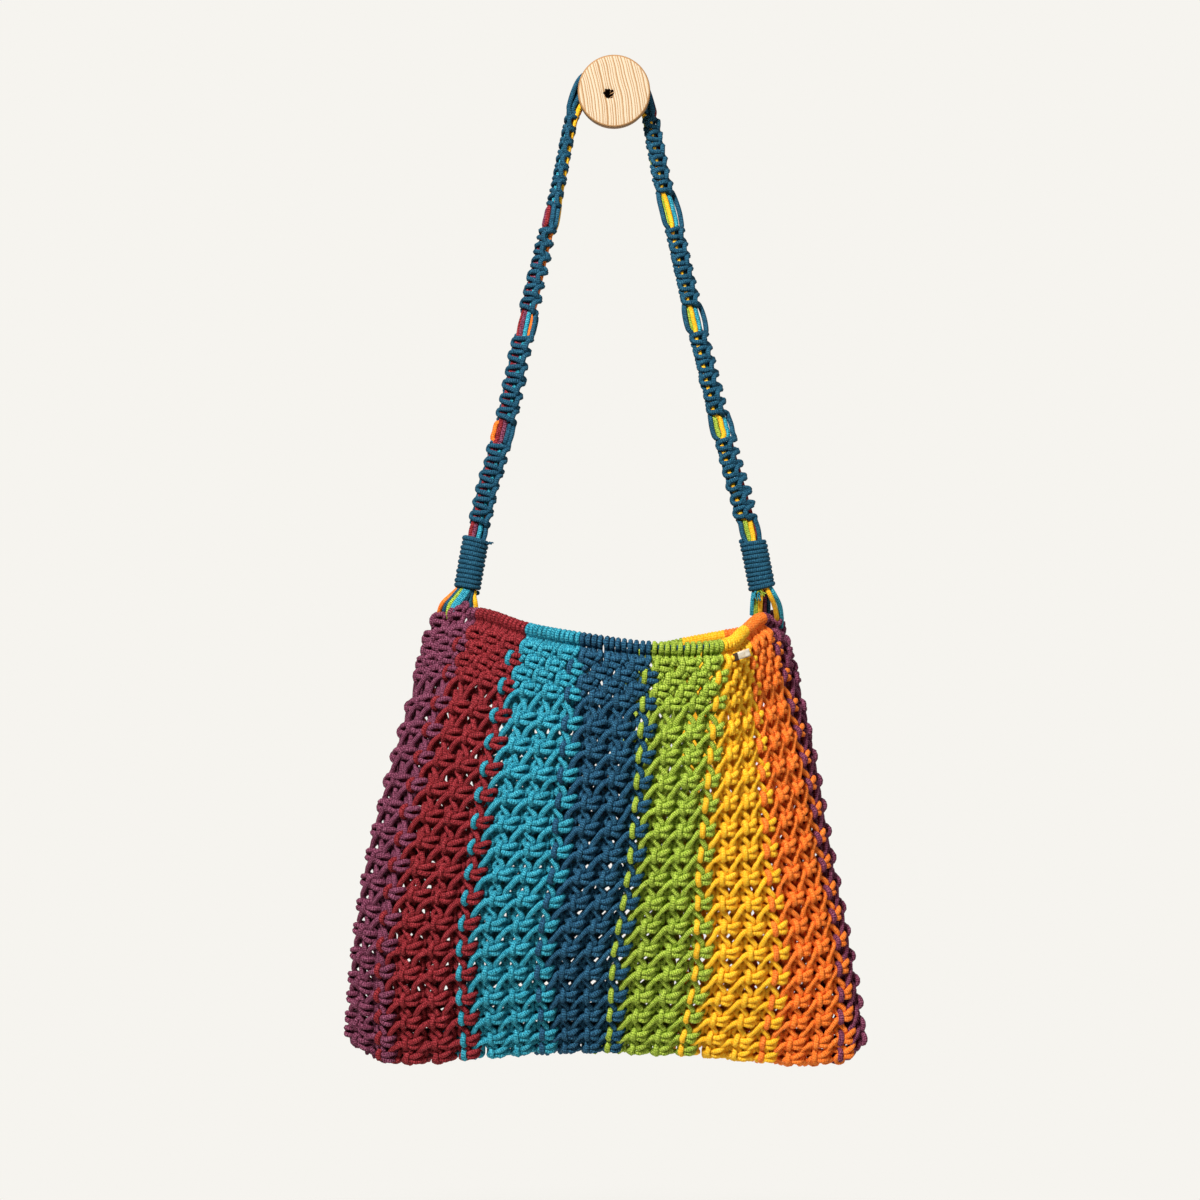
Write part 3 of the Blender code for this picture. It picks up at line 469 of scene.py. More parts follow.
def cord_mesh(name, lines, radius=CORD_RADIUS, sides=CORD_SIDES, taper=None):
    """One mesh of round cords along lines of equal point count, with closed ends."""
    centres = np.array(lines)
    count, rings = centres.shape[:2]
    way = unit(np.gradient(centres, axis=1))
    start = np.cross(way[:, 0], np.array(CORNER_GUIDE))
    normals = [unit(start)]
    for r in range(rings - 1):
        chord = centres[:, r + 1] - centres[:, r]
        size = np.sum(chord * chord, axis=1, keepdims=True)
        flipped = normals[-1] - chord * 2 * np.sum(chord * normals[-1], axis=1, keepdims=True) / size
        turned = way[:, r] - chord * 2 * np.sum(chord * way[:, r], axis=1, keepdims=True) / size
        gap = way[:, r + 1] - turned
        size = np.maximum(np.sum(gap * gap, axis=1, keepdims=True), 1e-12)
        normals.append(unit(flipped - gap * 2 * np.sum(gap * flipped, axis=1, keepdims=True) / size))
    normal = np.stack(normals, axis=1)
    side = np.cross(way, normal)
    reach = np.concatenate([np.zeros((count, 1)), np.cumsum(
        np.linalg.norm(np.diff(centres, axis=1), axis=2), axis=1)], axis=1)
    size = np.full((count, rings), radius)
    if taper is not None:
        size = size * np.interp(np.linspace(0, 1, rings), *taper)[None, :]
    angle = 2 * pi * np.arange(sides) / sides
    points = (centres[:, :, None] + size[:, :, None, None]
              * (normal[:, :, None] * np.cos(angle)[:, None] + side[:, :, None] * np.sin(angle)[:, None]))
    index = np.arange(count * rings * sides).reshape(count, rings, sides)
    after = np.roll(index, -1, axis=2)
    quads = np.stack([index[:, :-1], after[:, :-1], after[:, 1:], index[:, 1:]], axis=-1)
    faces = quads.reshape(-1, 4).tolist()
    faces += index[:, 0, ::-1].tolist() + index[:, -1].tolist()
    mesh = bpy.data.meshes.new(name)
    mesh.from_pydata(points.reshape(-1, 3).tolist(), [], faces)

    # Round the cord and along it in metres, for the plait
    shape = quads.shape
    around = np.broadcast_to((np.arange(sides)[:, None] + np.array((0, 1, 1, 0))) / sides, shape)
    along = np.empty(shape)
    along[..., :2] = reach[:, :-1, None, None]
    along[..., 2:] = reach[:, 1:, None, None]
    caps = np.zeros((2 * count * sides, 2))
    braid = np.stack([around * 2 * pi * CORD_RADIUS, along], axis=-1).reshape(-1, 2)
    mesh.uv_layers.new(name="braid").data.foreach_set(
        "uv", np.concatenate([braid, caps]).astype(np.float32).ravel())

    # The same cords cut into strips side by side on one square, for painted textures
    folds = 2 if rings > LONG_CORD_RINGS else 1
    fold = -(-(rings - 1) // folds)
    ring = np.arange(rings - 1)
    strip = np.arange(count)[:, None] * folds + ring[None, :] // fold
    low = (ring % fold) / fold
    across = (strip[:, :, None, None] + STRIP_ACROSS[0] + STRIP_ACROSS[1] * around) / (count * folds)
    up = np.empty(shape)
    up[..., :2] = low[None, :, None, None]
    up[..., 2:] = low[None, :, None, None] + 1 / fold
    baked = np.stack([across, STRIP_ALONG[0] + STRIP_ALONG[1] * up], axis=-1).reshape(-1, 2)
    spot = np.full((2 * count * sides, 2), 0.5 / (count * folds))
    mesh.uv_layers.new(name="OFBake").data.foreach_set(
        "uv", np.concatenate([baked, spot]).astype(np.float32).ravel())
    mesh.shade_smooth()
    return mesh


def add_piece(name, mesh, finish, slot, *nodes):
    """A piece of the object that rides on the one body and stands for CAD nodes."""
    piece = bpy.data.objects.new(name, mesh)
    bpy.context.scene.collection.objects.link(piece)
    mesh.materials.append(finish)
    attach(piece, "root")
    if nodes:
        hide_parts(*nodes)
    return piece


net_lines = {}
for home in range(COLUMNS):
    for role in ROLES:
        colour = BAND_COLOURS[home // BAND_COLUMNS]
        net_lines.setdefault(colour, []).append(sampled(net_strand(home, role), NET_RINGS))
# The cords are pulled thinner where they turn over the rim: share of their length, of their width
RIM_DRAWN = ((0.0, 0.024, 0.034, 1.0), (0.84, 0.84, 1.0, 1.0))
for colour, lines in net_lines.items():
    add_piece("net_" + colour, cord_mesh("net_" + colour, lines, taper=RIM_DRAWN), COTTON[colour],
              "net_cord", "bag_net")


# Carrier cord of the rim
# One cord lies inside the turns of the rim, from fold to fold along the front and along the back.
CARRIER_SPANS = ((0.1, 18.0), (21.1, 38.9))
CARRIER_DOWN = 0.0165
CARRIER_RINGS = 90

carrier_lines = []
for first, last in CARRIER_SPANS:
    places = np.linspace(first, last, CARRIER_RINGS)
    carrier_lines.append(net_place(places, np.full(CARRIER_RINGS, CARRIER_DOWN),
                                   np.zeros(CARRIER_RINGS))[0])
add_piece("rim_carrier", cord_mesh("rim_carrier", carrier_lines), COTTON["petrol"], "net_cord")


# Strap
# Two teal cords are knotted round four coloured ones, as a flat row of square knots that stops
# four times on each side, where the cords run free. Over the knob's neck both sides' cords lie in
# three layers, and each cord ends inside the other side's knots.
# x, depth, z, turn of its width away from the plane of the wall in degrees
STRAP_ROUTE = np.array((
    (-0.1142, 0.0710, -0.4005, 0),
    (-0.1130, 0.0700, -0.3960, 0),
    (-0.1057, 0.0680, -0.3554, 0),
    (-0.0960, 0.0650, -0.3140, 0),
    (-0.0814, 0.0600, -0.2580, -5),
    (-0.0684, 0.0540, -0.1945, -16),
    (-0.0577, 0.0480, -0.1456, -34),
    (-0.0424, 0.0400, -0.0758, -74),
    (-0.0302, 0.0325, -0.0135, -88),
    (-0.0256, 0.0315, 0.0010, -90),
    (-0.0210, 0.0310, 0.0125, -90),
    (-0.0112, 0.0305, 0.0214, -90),
    (0.0030, 0.0300, 0.0249, -90),
    (0.0165, 0.0305, 0.0215, -90),
    (0.0250, 0.0310, 0.0118, -90),
    (0.0292, 0.0315, 0.0000, -86),
    (0.0345, 0.0325, -0.0215, -58),
    (0.0435, 0.0380, -0.0689, -44),
    (0.0495, 0.0405, -0.0900, -42),
    (0.0577, 0.0460, -0.1300, -40),
    (0.0690, 0.0525, -0.1800, -36),
    (0.0777, 0.0570, -0.2180, -32),
    (0.0920, 0.0620, -0.2750, -18),
    (0.1136, 0.0700, -0.3555, -2),
    (0.1216, 0.0690, -0.3945, 0),
    (0.1228, 0.0688, -0.3990, 0),
))
ROUTE_STEP = 0.002
route_points = np.stack([STRAP_ROUTE[:, 0], -STRAP_ROUTE[:, 1], STRAP_ROUTE[:, 2]], axis=1)
route_reach = np.concatenate([[0], np.cumsum(np.linalg.norm(np.diff(route_points, axis=0), axis=1))])
route_stations = np.concatenate([[0], route_reach, route_reach[-1:]])
route_values = np.concatenate([route_points, STRAP_ROUTE[:, 3:]], axis=1)
route_values = np.concatenate([route_values[:1], route_values, route_values[-1:]])


def strap_point(along):
    """Points on the strap's centreline, with the turn of its width there in degrees."""
    found = smooth_curve(route_stations, route_values, along)
    return found[:, :3], found[:, 3]


def strap_place(along, right, away):
    """Points beside the centreline: right as seen at both feet, away from the knob's neck."""
    centre, turn = strap_point(along)
    ahead = strap_point(np.minimum(along + ROUTE_STEP, route_reach[-1]))[0]
    behind = strap_point(np.maximum(along - ROUTE_STEP, 0))[0]
    forward = unit(ahead - behind)
    outward = unit(np.cross(forward, np.array((0.0, 1.0, 0.0))))
    to_front = np.cross(forward, outward)
    angle = np.radians(turn)[:, None]
    width = outward * np.cos(angle) + to_front * np.sin(angle)
    thick = np.cross(width, forward)
    return centre - width * right[:, None] - thick * away[:, None]


def along_at(z, on_left):
    """Distance along the strap at which it passes a height, on its left or right side."""
    low, high = (0.0, route_reach[-1] / 2) if on_left else (route_reach[-1], route_reach[-1] / 2)
    for _ in range(30):
        middle = (low + high) / 2
        if strap_point(np.array([middle]))[0][0][2] < z:
            low = middle
        else:
            high = middle
    return (low + high) / 2


def strap_points(marks, on_left):
    """Points in space for rows of (distance along, right, out of the knots' face) in millimetres."""
    along, right, front = np.array(marks).T
    return strap_place(along, right * MM * (1.0 if on_left else -1.0), front * MM)


# Ways of the two teal cords through one knot: to the right, down and out of its face. At the top
# left the knots are seen from their edge, where the upright part lies
STRAP_PITCH = 11.3
FLAT_WAYS = (
    ((7.2, -5.6, 0.6), (5.4, -4.6, 2.0), (2.0, -3.6, 4.2), (-1.8, -2.9, 4.9), (-4.8, -2.7, 3.9),
     (-7.1, -1.9, 1.4), (-7.9, 0.0, 0.2), (-7.1, 1.9, 1.4), (-4.8, 2.7, 3.9), (-1.8, 2.9, 4.9),
     (2.0, 3.6, 4.2), (5.4, 4.4, 2.0), (7.2, 5.3, 0.6)),
    ((-5.6, -5.6, 0.6), (-6.0, -4.0, -1.2), (-4.8, -3.4, -3.2), (0.0, -3.8, -4.4),
     (4.8, -4.8, -3.2), (7.0, -4.4, -0.8), (7.5, -3.2, 2.0), (6.8, -2.3, 4.6), (5.8, -0.6, 6.3),
     (5.5, 2.2, 6.5), (5.3, 5.0, 5.2), (5.7, 6.4, 1.8), (4.6, 5.4, -2.4), (0.0, 3.8, -4.4),
     (-4.8, 3.2, -3.2), (-6.0, 4.0, -1.2)),
)
EDGE_WAYS = (
    ((5.4, -5.0, 1.2), (4.6, -4.2, 2.8), (2.2, -3.4, 3.8), (-1.8, -2.8, 3.8), (-4.8, -2.3, 3.0),
     (-6.5, -1.5, 1.0), (-6.9, 0.0, -0.8), (-6.5, 1.5, 1.0), (-4.8, 2.1, 3.0), (-1.8, 2.8, 3.8),
     (2.2, 3.5, 3.8), (4.6, 4.2, 2.8), (5.4, 5.0, 1.2)),
    ((-7.4, -5.2, 1.4), (-7.2, -3.6, 0.4), (-5.2, -3.2, -2.4), (0.0, -3.4, -3.7),
     (4.6, -4.2, -3.6), (7.2, -4.8, -2.2), (8.7, -4.0, 0.2), (9.0, -1.8, 1.2), (9.0, 1.6, 1.2),
     (8.6, 4.0, 0.2), (7.2, 4.8, -2.2), (4.6, 4.4, -3.6), (0.0, 3.4, -3.7), (-5.2, 2.8, -2.4),
     (-7.2, 3.6, 0.4)),
)
RIGHT_WAYS = (
    ((7.8, -5.6, 0.6), (5.4, -4.9, 2.0), (2.0, -4.2, 3.8), (-1.8, -3.6, 4.4), (-5.0, -3.3, 3.8),
     (-7.4, -2.3, 1.8), (-8.2, 0.0, 0.8), (-7.4, 2.3, 1.8), (-5.0, 3.3, 3.8), (-1.8, 3.4, 4.4),
     (2.0, 3.9, 3.8), (5.4, 4.5, 2.0), (7.8, 5.3, 0.6)),
    ((-5.8, -5.6, 0.0), (-6.0, -4.0, -1.6), (-4.8, -3.4, -3.2), (0.0, -3.8, -4.2),
     (4.8, -5.0, -3.0), (7.3, -4.6, -0.8), (7.2, -3.4, 2.2), (4.2, -2.6, 4.8), (1.0, -0.8, 6.4),
     (0.0, 2.2, 6.6), (0.6, 5.0, 5.2), (3.2, 6.4, 2.2), (4.4, 5.4, -2.4), (0.0, 3.8, -4.2),
     (-4.8, 3.2, -3.2), (-6.0, 4.0, -1.6)),
)
# On the left both teal cords run free at the right, so one crosses behind before and after a length
CROSS_BEFORE = ((4.6, -8.4, -3.0), (0.0, -7.8, -4.4), (-4.8, -7.0, -3.2), (-6.6, -5.8, -0.8))
CROSS_AFTER = ((-6.6, 5.2, -0.6), (-4.8, 6.4, -3.2), (0.0, 7.2, -4.4), (4.6, 7.8, -3.0))

# Knotted lengths from the knob down: top height, foot height, knots
LEFT_LENGTHS = ((-0.0136, -0.0880, 7), (-0.1057, -0.1740, 6), (-0.1936, -0.2620, 6),
                (-0.2804, -0.3443, 6))
RIGHT_LENGTHS = ((-0.0144, -0.0768, 6), (-0.1057, -0.1692, 6), (-0.1904, -0.2573, 6),
                 (-0.2760, -0.3400, 6))
STRAP_FOOT = -0.3570
WRAP_MIDDLE = -0.3780

# Places of the two teal cords and the four coloured ones, in millimetres to the right and out of
# the knots' face, in each free stretch from the knob down and inside the wrap
LEFT_FREE = (
    ((6.6, 1.4), (6.4, -2.4), (2.6, 4.0), (-2.4, 3.2), (-5.0, 0.8), (-5.0, -2.4)),
    ((6.7, 0.6), (6.2, -3.2), (-5.8, -0.8), (-3.0, 1.2), (0.6, 1.0), (3.4, -1.4)),
    ((7.3, 0.0), (3.9, 0.8), (-3.8, 0.8), (0.1, 0.6), (-1.4, -3.2), (-6.9, -1.2)),
    ((6.4, 0.8), (4.4, -3.2), (-5.8, 0.6), (-2.2, 1.0), (2.0, 0.9), (-1.0, -3.2)),
    ((2.2, 4.0), (4.6, 0.0), (-4.6, -1.0), (-2.2, 3.0), (0.0, -2.0), (2.0, -4.0)),
)
RIGHT_FREE = (
    ((9.4, 0.4), (-9.4, 0.0), (-5.0, -1.2), (-2.6, 0.6), (1.8, 0.9), (5.2, -1.8)),
    ((9.6, 0.4), (-9.6, 0.0), (-4.9, -1.2), (-2.4, 0.7), (2.0, 0.8), (5.0, -2.0)),
    ((8.4, 0.4), (-8.4, 0.0), (-4.4, 0.6), (-0.2, 1.0), (3.8, 0.4), (2.0, -3.0)),
    ((6.6, 0.6), (-6.6, 0.8), (-2.4, 1.0), (1.8, 1.2), (-4.4, -2.8), (4.4, -2.8)),
    ((2.2, 4.0), (4.6, 0.0), (-4.6, -1.0), (-2.2, 3.0), (0.0, -2.0), (2.0, -4.0)),
)
LEFT_CORES = ("crimson", "plum", "turquoise", "orange")
RIGHT_CORES = ("lime", "yellow", "turquoise", "crimson")
# Inside the knots: to the right, out of the face
LEFT_CORE_PLACES = ((-4.4, 1.2), (-1.6, 1.0), (1.2, 1.2), (2.8, -0.8))
RIGHT_CORE_PLACES = ((-4.2, -2.0), (-3.9, 1.0), (-0.2, 0.2), (3.8, 0.2))
# Over the neck: to the front, away from the neck
LEFT_NECK = ((6.6, 4.3), (2.2, 4.3), (-6.6, 0.0), (-2.2, 0.0), (2.2, 0.0), (-6.6, -4.3))
RIGHT_NECK = ((6.6, 0.0), (-2.2, 4.3), (-2.2, -4.3), (4.8, -4.4), (2.2, -4.3), (-6.6, 4.3))
NECK_INSET = 0.0045
# Shares of the way over the neck at which its cords have points, and how close they end together
NECK_SHARES = (0.1, 0.4, 0.7, 0.94)
NECK_CLOSING = 0.3
# Points of a coloured cord in each knot, in knots from its middle, and of every cord in each free
# stretch: share of the way and of the spread
CORE_REACH = 0.3
FREE_SHARES = ((0.14, 0.93), (0.5, 1.0), (0.86, 0.93))
# One yellow cord runs on down the left side as far as its second length
YELLOW_TAIL = ((-0.0240, 4.6, -3.0), (-0.0500, 4.4, -2.6), (-0.0800, 4.4, -2.6),
               (-0.0900, 3.6, -4.0), (-0.1030, 3.4, -4.2), (-0.1110, 1.5, -1.5))
# The strap's cords are 3.9 mm thick, thinner than the net's; this is where their corners lie
STRAP_CORD_RADIUS = 0.00208
TEAL_RINGS = 760
CORE_RINGS = 300

strap_lines = {name: [] for name in ("teal",) + LEFT_CORES + RIGHT_CORES}
neck_ends = [along_at(LEFT_LENGTHS[0][0], True), along_at(RIGHT_LENGTHS[0][0], False)]
for on_left, lengths, free, cores, core_places, neck in (
        (True, LEFT_LENGTHS, LEFT_FREE, LEFT_CORES, LEFT_CORE_PLACES, LEFT_NECK),
        (False, RIGHT_LENGTHS, RIGHT_FREE, RIGHT_CORES, RIGHT_CORE_PLACES, RIGHT_NECK)):
    heading = -1.0 if on_left else 1.0
    near, far = neck_ends if on_left else neck_ends[::-1]
    ways = []
    for right, away in neck:
        over = [(far - heading * NECK_INSET, -heading * right * NECK_CLOSING, away * NECK_CLOSING)]
        over += [(far + (near - far) * share, -heading * right, away) for share in NECK_SHARES]
        ways.append(over)
    if not on_left:
        tail = [(along_at(z, True), -right, front) for z, right, front in YELLOW_TAIL]
        ways[3] = tail[::-1] + ways[3][1:]
    for number, (top, foot, knots) in enumerate(lengths):
        start, end = along_at(top, on_left), along_at(foot, on_left)
        pitch = (end - start) / knots
        for knot in range(knots):
            middle = start + (knot + 0.5) * pitch
            shift = dice.normal(0, KNOT_SHIFT, 2)
            tilt = dice.normal(0, KNOT_TILT)
            for way in (0, 1):
                route = (EDGE_WAYS if on_left and number == 0 else
                         FLAT_WAYS if on_left else RIGHT_WAYS)[way]
                if on_left and way == 1 and knot == 0:
                    route = CROSS_BEFORE + route[1:]
                if on_left and way == 1 and knot == knots - 1:
                    route = route + CROSS_AFTER
                for right, drop, front in route:
                    jitter = dice.normal(0, POINT_JITTER, 3)
                    right, drop = (right * cos(tilt) - drop * sin(tilt) + shift[0] + jitter[0],
                                   right * sin(tilt) + drop * cos(tilt) + shift[1] + jitter[1])
                    ways[way].append((middle + pitch * drop / STRAP_PITCH, right,
                                      front + jitter[2] / 2))
            for core in range(4):
                jitter = dice.normal(0, POINT_JITTER, 4)
                right, front = core_places[core]
                ways[core + 2].append((middle - CORE_REACH * pitch, right + jitter[0], front + jitter[1]))
                ways[core + 2].append((middle + CORE_REACH * pitch, right + jitter[2], front + jitter[3]))
        following = lengths[number + 1][0] if number + 1 < len(lengths) else STRAP_FOOT
        start, end = end, along_at(following, on_left)
        for way in range(6):
            right, front = free[number][way]
            jitter = dice.normal(0, POINT_JITTER, 2)
            for share, reach in FREE_SHARES:
                ways[way].append((start + (end - start) * share, right * reach + jitter[0],
                                  front + jitter[1]))
    inside_wrap = along_at(WRAP_MIDDLE, on_left)
    for way in range(6):
        ways[way].append((inside_wrap,) + free[-1][way])
        points = strap_points(ways[way], on_left)
        strap_lines["teal" if way < 2 else cores[way - 2]].append(
            sampled(points, TEAL_RINGS if way < 2 else CORE_RINGS))

for colour, lines in strap_lines.items():
    add_piece("strap_" + colour, cord_mesh("strap_" + colour, lines, STRAP_CORD_RADIUS),
              COTTON[colour], "teal_cord", "strap")


# Gathering wraps
# Just above each corner one teal cord is wound eleven times round the strap's cords and
# pulled tight. Its end sticks out at the top of the left wrap.
WRAP_TURNS = 11
WRAP_WOUND_RADIUS = 0.0090
WRAP_CORD_RADIUS = 0.0020
# The turns lie aslant, lower at the right, and almost level at the foot, in degrees
WRAP_TOP_SLOPE = 9
WRAP_FOOT_SLOPE = 3
WRAP_RINGS = 280
WRAP_SIDES = 8
# Turns lie a little in and out of each other: by how much, and how often along the wrap
WRAP_WANDER = 0.00025
WRAP_WANDERS = 5.3
WRAP_ENDS = (("wrap_left", True, -0.3547, -0.3985), ("wrap_right", False, -0.3555, -0.3965))

for name, on_left, top, foot in WRAP_ENDS:
    share = np.linspace(0, 1, WRAP_RINGS)
    start, end = along_at(top, on_left), along_at(foot, on_left)
    inset = np.sign(end - start) * WRAP_CORD_RADIUS
    angle = 2 * pi * WRAP_TURNS * share * (1 if on_left else -1)
    slope = np.radians(WRAP_TOP_SLOPE + (WRAP_FOOT_SLOPE - WRAP_TOP_SLOPE) * share)
    lean = WRAP_WOUND_RADIUS * np.sin(slope) * np.cos(angle)
    rise = start + inset + (end - start - 2 * inset) * share - lean
    wander = WRAP_WANDER * np.sin(WRAP_WANDERS * angle / (WRAP_TURNS + 1))
    wound = strap_place(rise, (WRAP_WOUND_RADIUS + wander) * np.cos(angle),
                        (WRAP_WOUND_RADIUS + wander) * np.sin(angle))
    add_piece(name + "_cord", cord_mesh(name + "_cord", [wound], WRAP_CORD_RADIUS, WRAP_SIDES),
              COTTON["teal"], "teal_cord", name)


# Fans of free cords
# Below each wrap the cords part again, and each bows out and down to the rim's corner, where it is
# tied in, some outside the net and some inside it.
# colour, start right and front of the wrap's middle; then points right of the wrap's foot, below
# it and to the front, in millimetres
LEFT_FAN = (
    ("orange", (-6.4, 0.8), (-12.6, 3.2, 3.0), (-18.6, 9.0, 2.0), (-21.4, 16.0, -2.0), (-21.8, 22.0, -7.0)),
    ("teal", (-5.0, 3.2), (-10.2, 3.8, 5.0), (-15.2, 10.0, 4.6), (-17.4, 16.5, 2.0), (-17.6, 22.0, -3.0)),
    ("lime", (-2.6, 5.0), (-7.6, 4.2, 7.4), (-12.4, 10.5, 9.0), (-13.8, 17.5, 9.0), (-11.8, 24.5, 4.0)),
    ("turquoise", (-0.6, 5.8), (-4.4, 4.4, 9.0), (-9.2, 11.0, 11.4), (-10.8, 18.0, 11.6), (-9.2, 25.0, 7.0)),
    ("turquoise", (1.6, 5.4), (-1.4, 4.4, 9.0), (-6.2, 10.5, 12.0), (-8.2, 16.5, 12.4), (-7.4, 22.5, 8.0)),
    ("teal", (3.2, 4.2), (0.4, 5.0, 7.0), (-3.6, 11.0, 9.4), (-5.4, 16.0, 9.4), (-5.6, 21.0, 6.0)),
    ("crimson", (2.4, 1.0), (0.6, 5.0, 2.4), (-1.4, 11.0, 3.0), (-2.2, 17.0, 1.0)),
    ("crimson", (1.5, -2.0), (-0.6, 6.0, -2.0), (-1.6, 12.0, -4.0), (-2.0, 18.0, -6.0)),
    ("teal", (4.4, 3.4), (3.6, 5.0, 4.4), (3.2, 10.0, 4.6), (3.4, 17.0, 1.0)),
    ("petrol", (3.6, -3.4), (3.8, 6.0, -3.0), (3.4, 12.0, -4.0), (3.0, 18.0, -6.0)),
    ("yellow", (6.0, 1.2), (6.6, 4.0, 2.6), (7.6, 9.0, 3.4), (8.2, 17.0, 1.0)),
)
RIGHT_FAN = (
    ("turquoise", (-6.0, 2.4), (-7.4, 4.5, 2.4), (-8.0, 11.0, 0.8), (-8.2, 20.0, -3.0)),
    ("teal", (-4.6, -1.0), (-6.0, 5.0, -2.0), (-6.6, 11.0, -4.0), (-7.0, 20.0, -7.0)),
    ("lime", (-3.4, 4.0), (-4.6, 4.5, 3.4), (-5.0, 11.0, 1.4), (-5.2, 20.0, -2.0)),
    ("yellow", (-1.0, 5.2), (-1.6, 4.5, 4.2), (-1.8, 11.0, 2.2), (-2.0, 20.0, -2.0)),
    ("crimson", (0.0, -4.0), (0.0, 6.0, -5.0), (-0.6, 12.0, -7.0), (-1.0, 20.0, -9.0)),
    ("plum", (0.8, 1.0), (1.4, 6.0, 0.0), (1.6, 12.0, -2.0), (1.6, 20.0, -5.0)),
    ("yellow", (2.6, 5.2), (5.4, 4.0, 5.6), (9.2, 12.0, 0.0), (11.8, 21.0, -8.0), (12.4, 28.0, -16.0)),
    ("petrol", (3.4, -3.4), (4.4, 6.0, -4.0), (5.0, 12.0, -6.0), (5.0, 20.0, -8.0)),
    ("turquoise", (5.6, 3.4), (9.2, 3.8, 3.6), (13.6, 12.0, -3.0), (15.8, 22.0, -11.0), (16.0, 30.0, -19.0)),
)
FAN_HELD = 0.006
FAN_CORD_RADIUS = 0.0020
FAN_RINGS = 34
FAN_SIDES = 8
# Inside the wrap a fan's cords lie closer
FAN_GATHER = 0.9

fan_lines = {}
for on_left, fan, foot in ((True, LEFT_FAN, WRAP_ENDS[0][3]), (False, RIGHT_FAN, WRAP_ENDS[1][3])):
    hold = along_at(foot + WRAP_CORD_RADIUS, on_left)
    inside = along_at(foot + FAN_HELD, on_left)
    middle = strap_point(np.array([along_at(foot, on_left)]))[0][0]
    for colour, (right, front), *way in fan:
        held = strap_points(((inside, right * FAN_GATHER, front * FAN_GATHER), (hold, right, front)),
                            on_left)
        led = [middle + np.array((right, -front, -down)) * MM for right, down, front in way]
        fan_lines.setdefault(colour, []).append(sampled(np.concatenate([held, led]), FAN_RINGS))
for colour, lines in fan_lines.items():
    add_piece("fan_" + colour, cord_mesh("fan_" + colour, lines, FAN_CORD_RADIUS, FAN_SIDES),
              COTTON[colour], "teal_cord", "strap")


# Frayed ends
# Where a cord was cut off its fibres stand apart: one end at the top of the left wrap, and three
# paler ones that peep out below the right wrap.
# colour, on the left, height, right and front of the strap's middle, way of the end, in millimetres
CUT_ENDS = (
    ("teal", True, -0.3590, 8.0, 5.0, (5.6, 0.4, 1.4)),
    ("turquoise", False, -0.3968, -7.0, 6.6, (-1.6, -4.2, 1.6)),
    ("turquoise", False, -0.3972, -4.6, 7.4, (0.4, -4.6, 1.4)),
    ("lime", False, -0.3966, -2.0, 7.8, (1.6, -3.6, 1.2)),
)
FRAY_RADIUS = 0.00045
FRAY_FIBRES = 7
FRAY_SPREAD = 1.5
# Fibres start this far apart in the cord, and this share of their length inside it
FRAY_START = 0.5
FRAY_ROOT = 0.4
FRAY_RINGS = 8
FRAY_SIDES = 5

for number, (colour, on_left, height, right, front, way) in enumerate(CUT_ENDS):
    root = strap_points(((along_at(height, on_left), right, front),), on_left)[0]
    fibres = []
    for _ in range(FRAY_FIBRES):
        tip = (np.array((way[0], -way[2], way[1])) + dice.normal(0, FRAY_SPREAD, 3)) * MM
        bend = dice.normal(0, FRAY_SPREAD / 3, 3) * MM
        near = dice.normal(0, FRAY_START, 3) * MM
        fibres.append(sampled(np.array((root + near - tip * FRAY_ROOT, root + near,
                                        root + tip * 0.5 + bend, root + tip)), FRAY_RINGS))
    name = "frayed_end_%d" % (number + 1)
    add_piece(name, cord_mesh(name, fibres, FRAY_RADIUS, FRAY_SIDES), COTTON[colour], "teal_cord")


# Wall knob
# A peg turned from one piece of pine: a neck against the wall and a wider disc, set a little off
# the screw. It is sanded and left bare; the screw hole's edge is slightly torn, and its wall and bottom are
# painted dark brown as shade.
NECK_RADIUS = 0.016
DISC_RADIUS = 0.029
DISC_FRONT = 0.060
DISC_THICKNESS = 0.0095
KNOB_CENTRE = (0.004, 0.0024)
NECK_ROOT_EDGE = 0.0030
EDGE_ROUND = 0.0013
HOLE_RADIUS = 0.0038
HOLE_DEPTH = 0.010
KNOB_SIDES = 128
# Rings of the profile between which the disc's edge lies, and how many at its end are the hole's
EDGE_RINGS = (10, 15)
HOLE_RINGS = 4
# How far the wood is torn round the hole, and over how many sides a tear runs
TORN_DEPTH = 0.0011
TORN_SIDES = 9


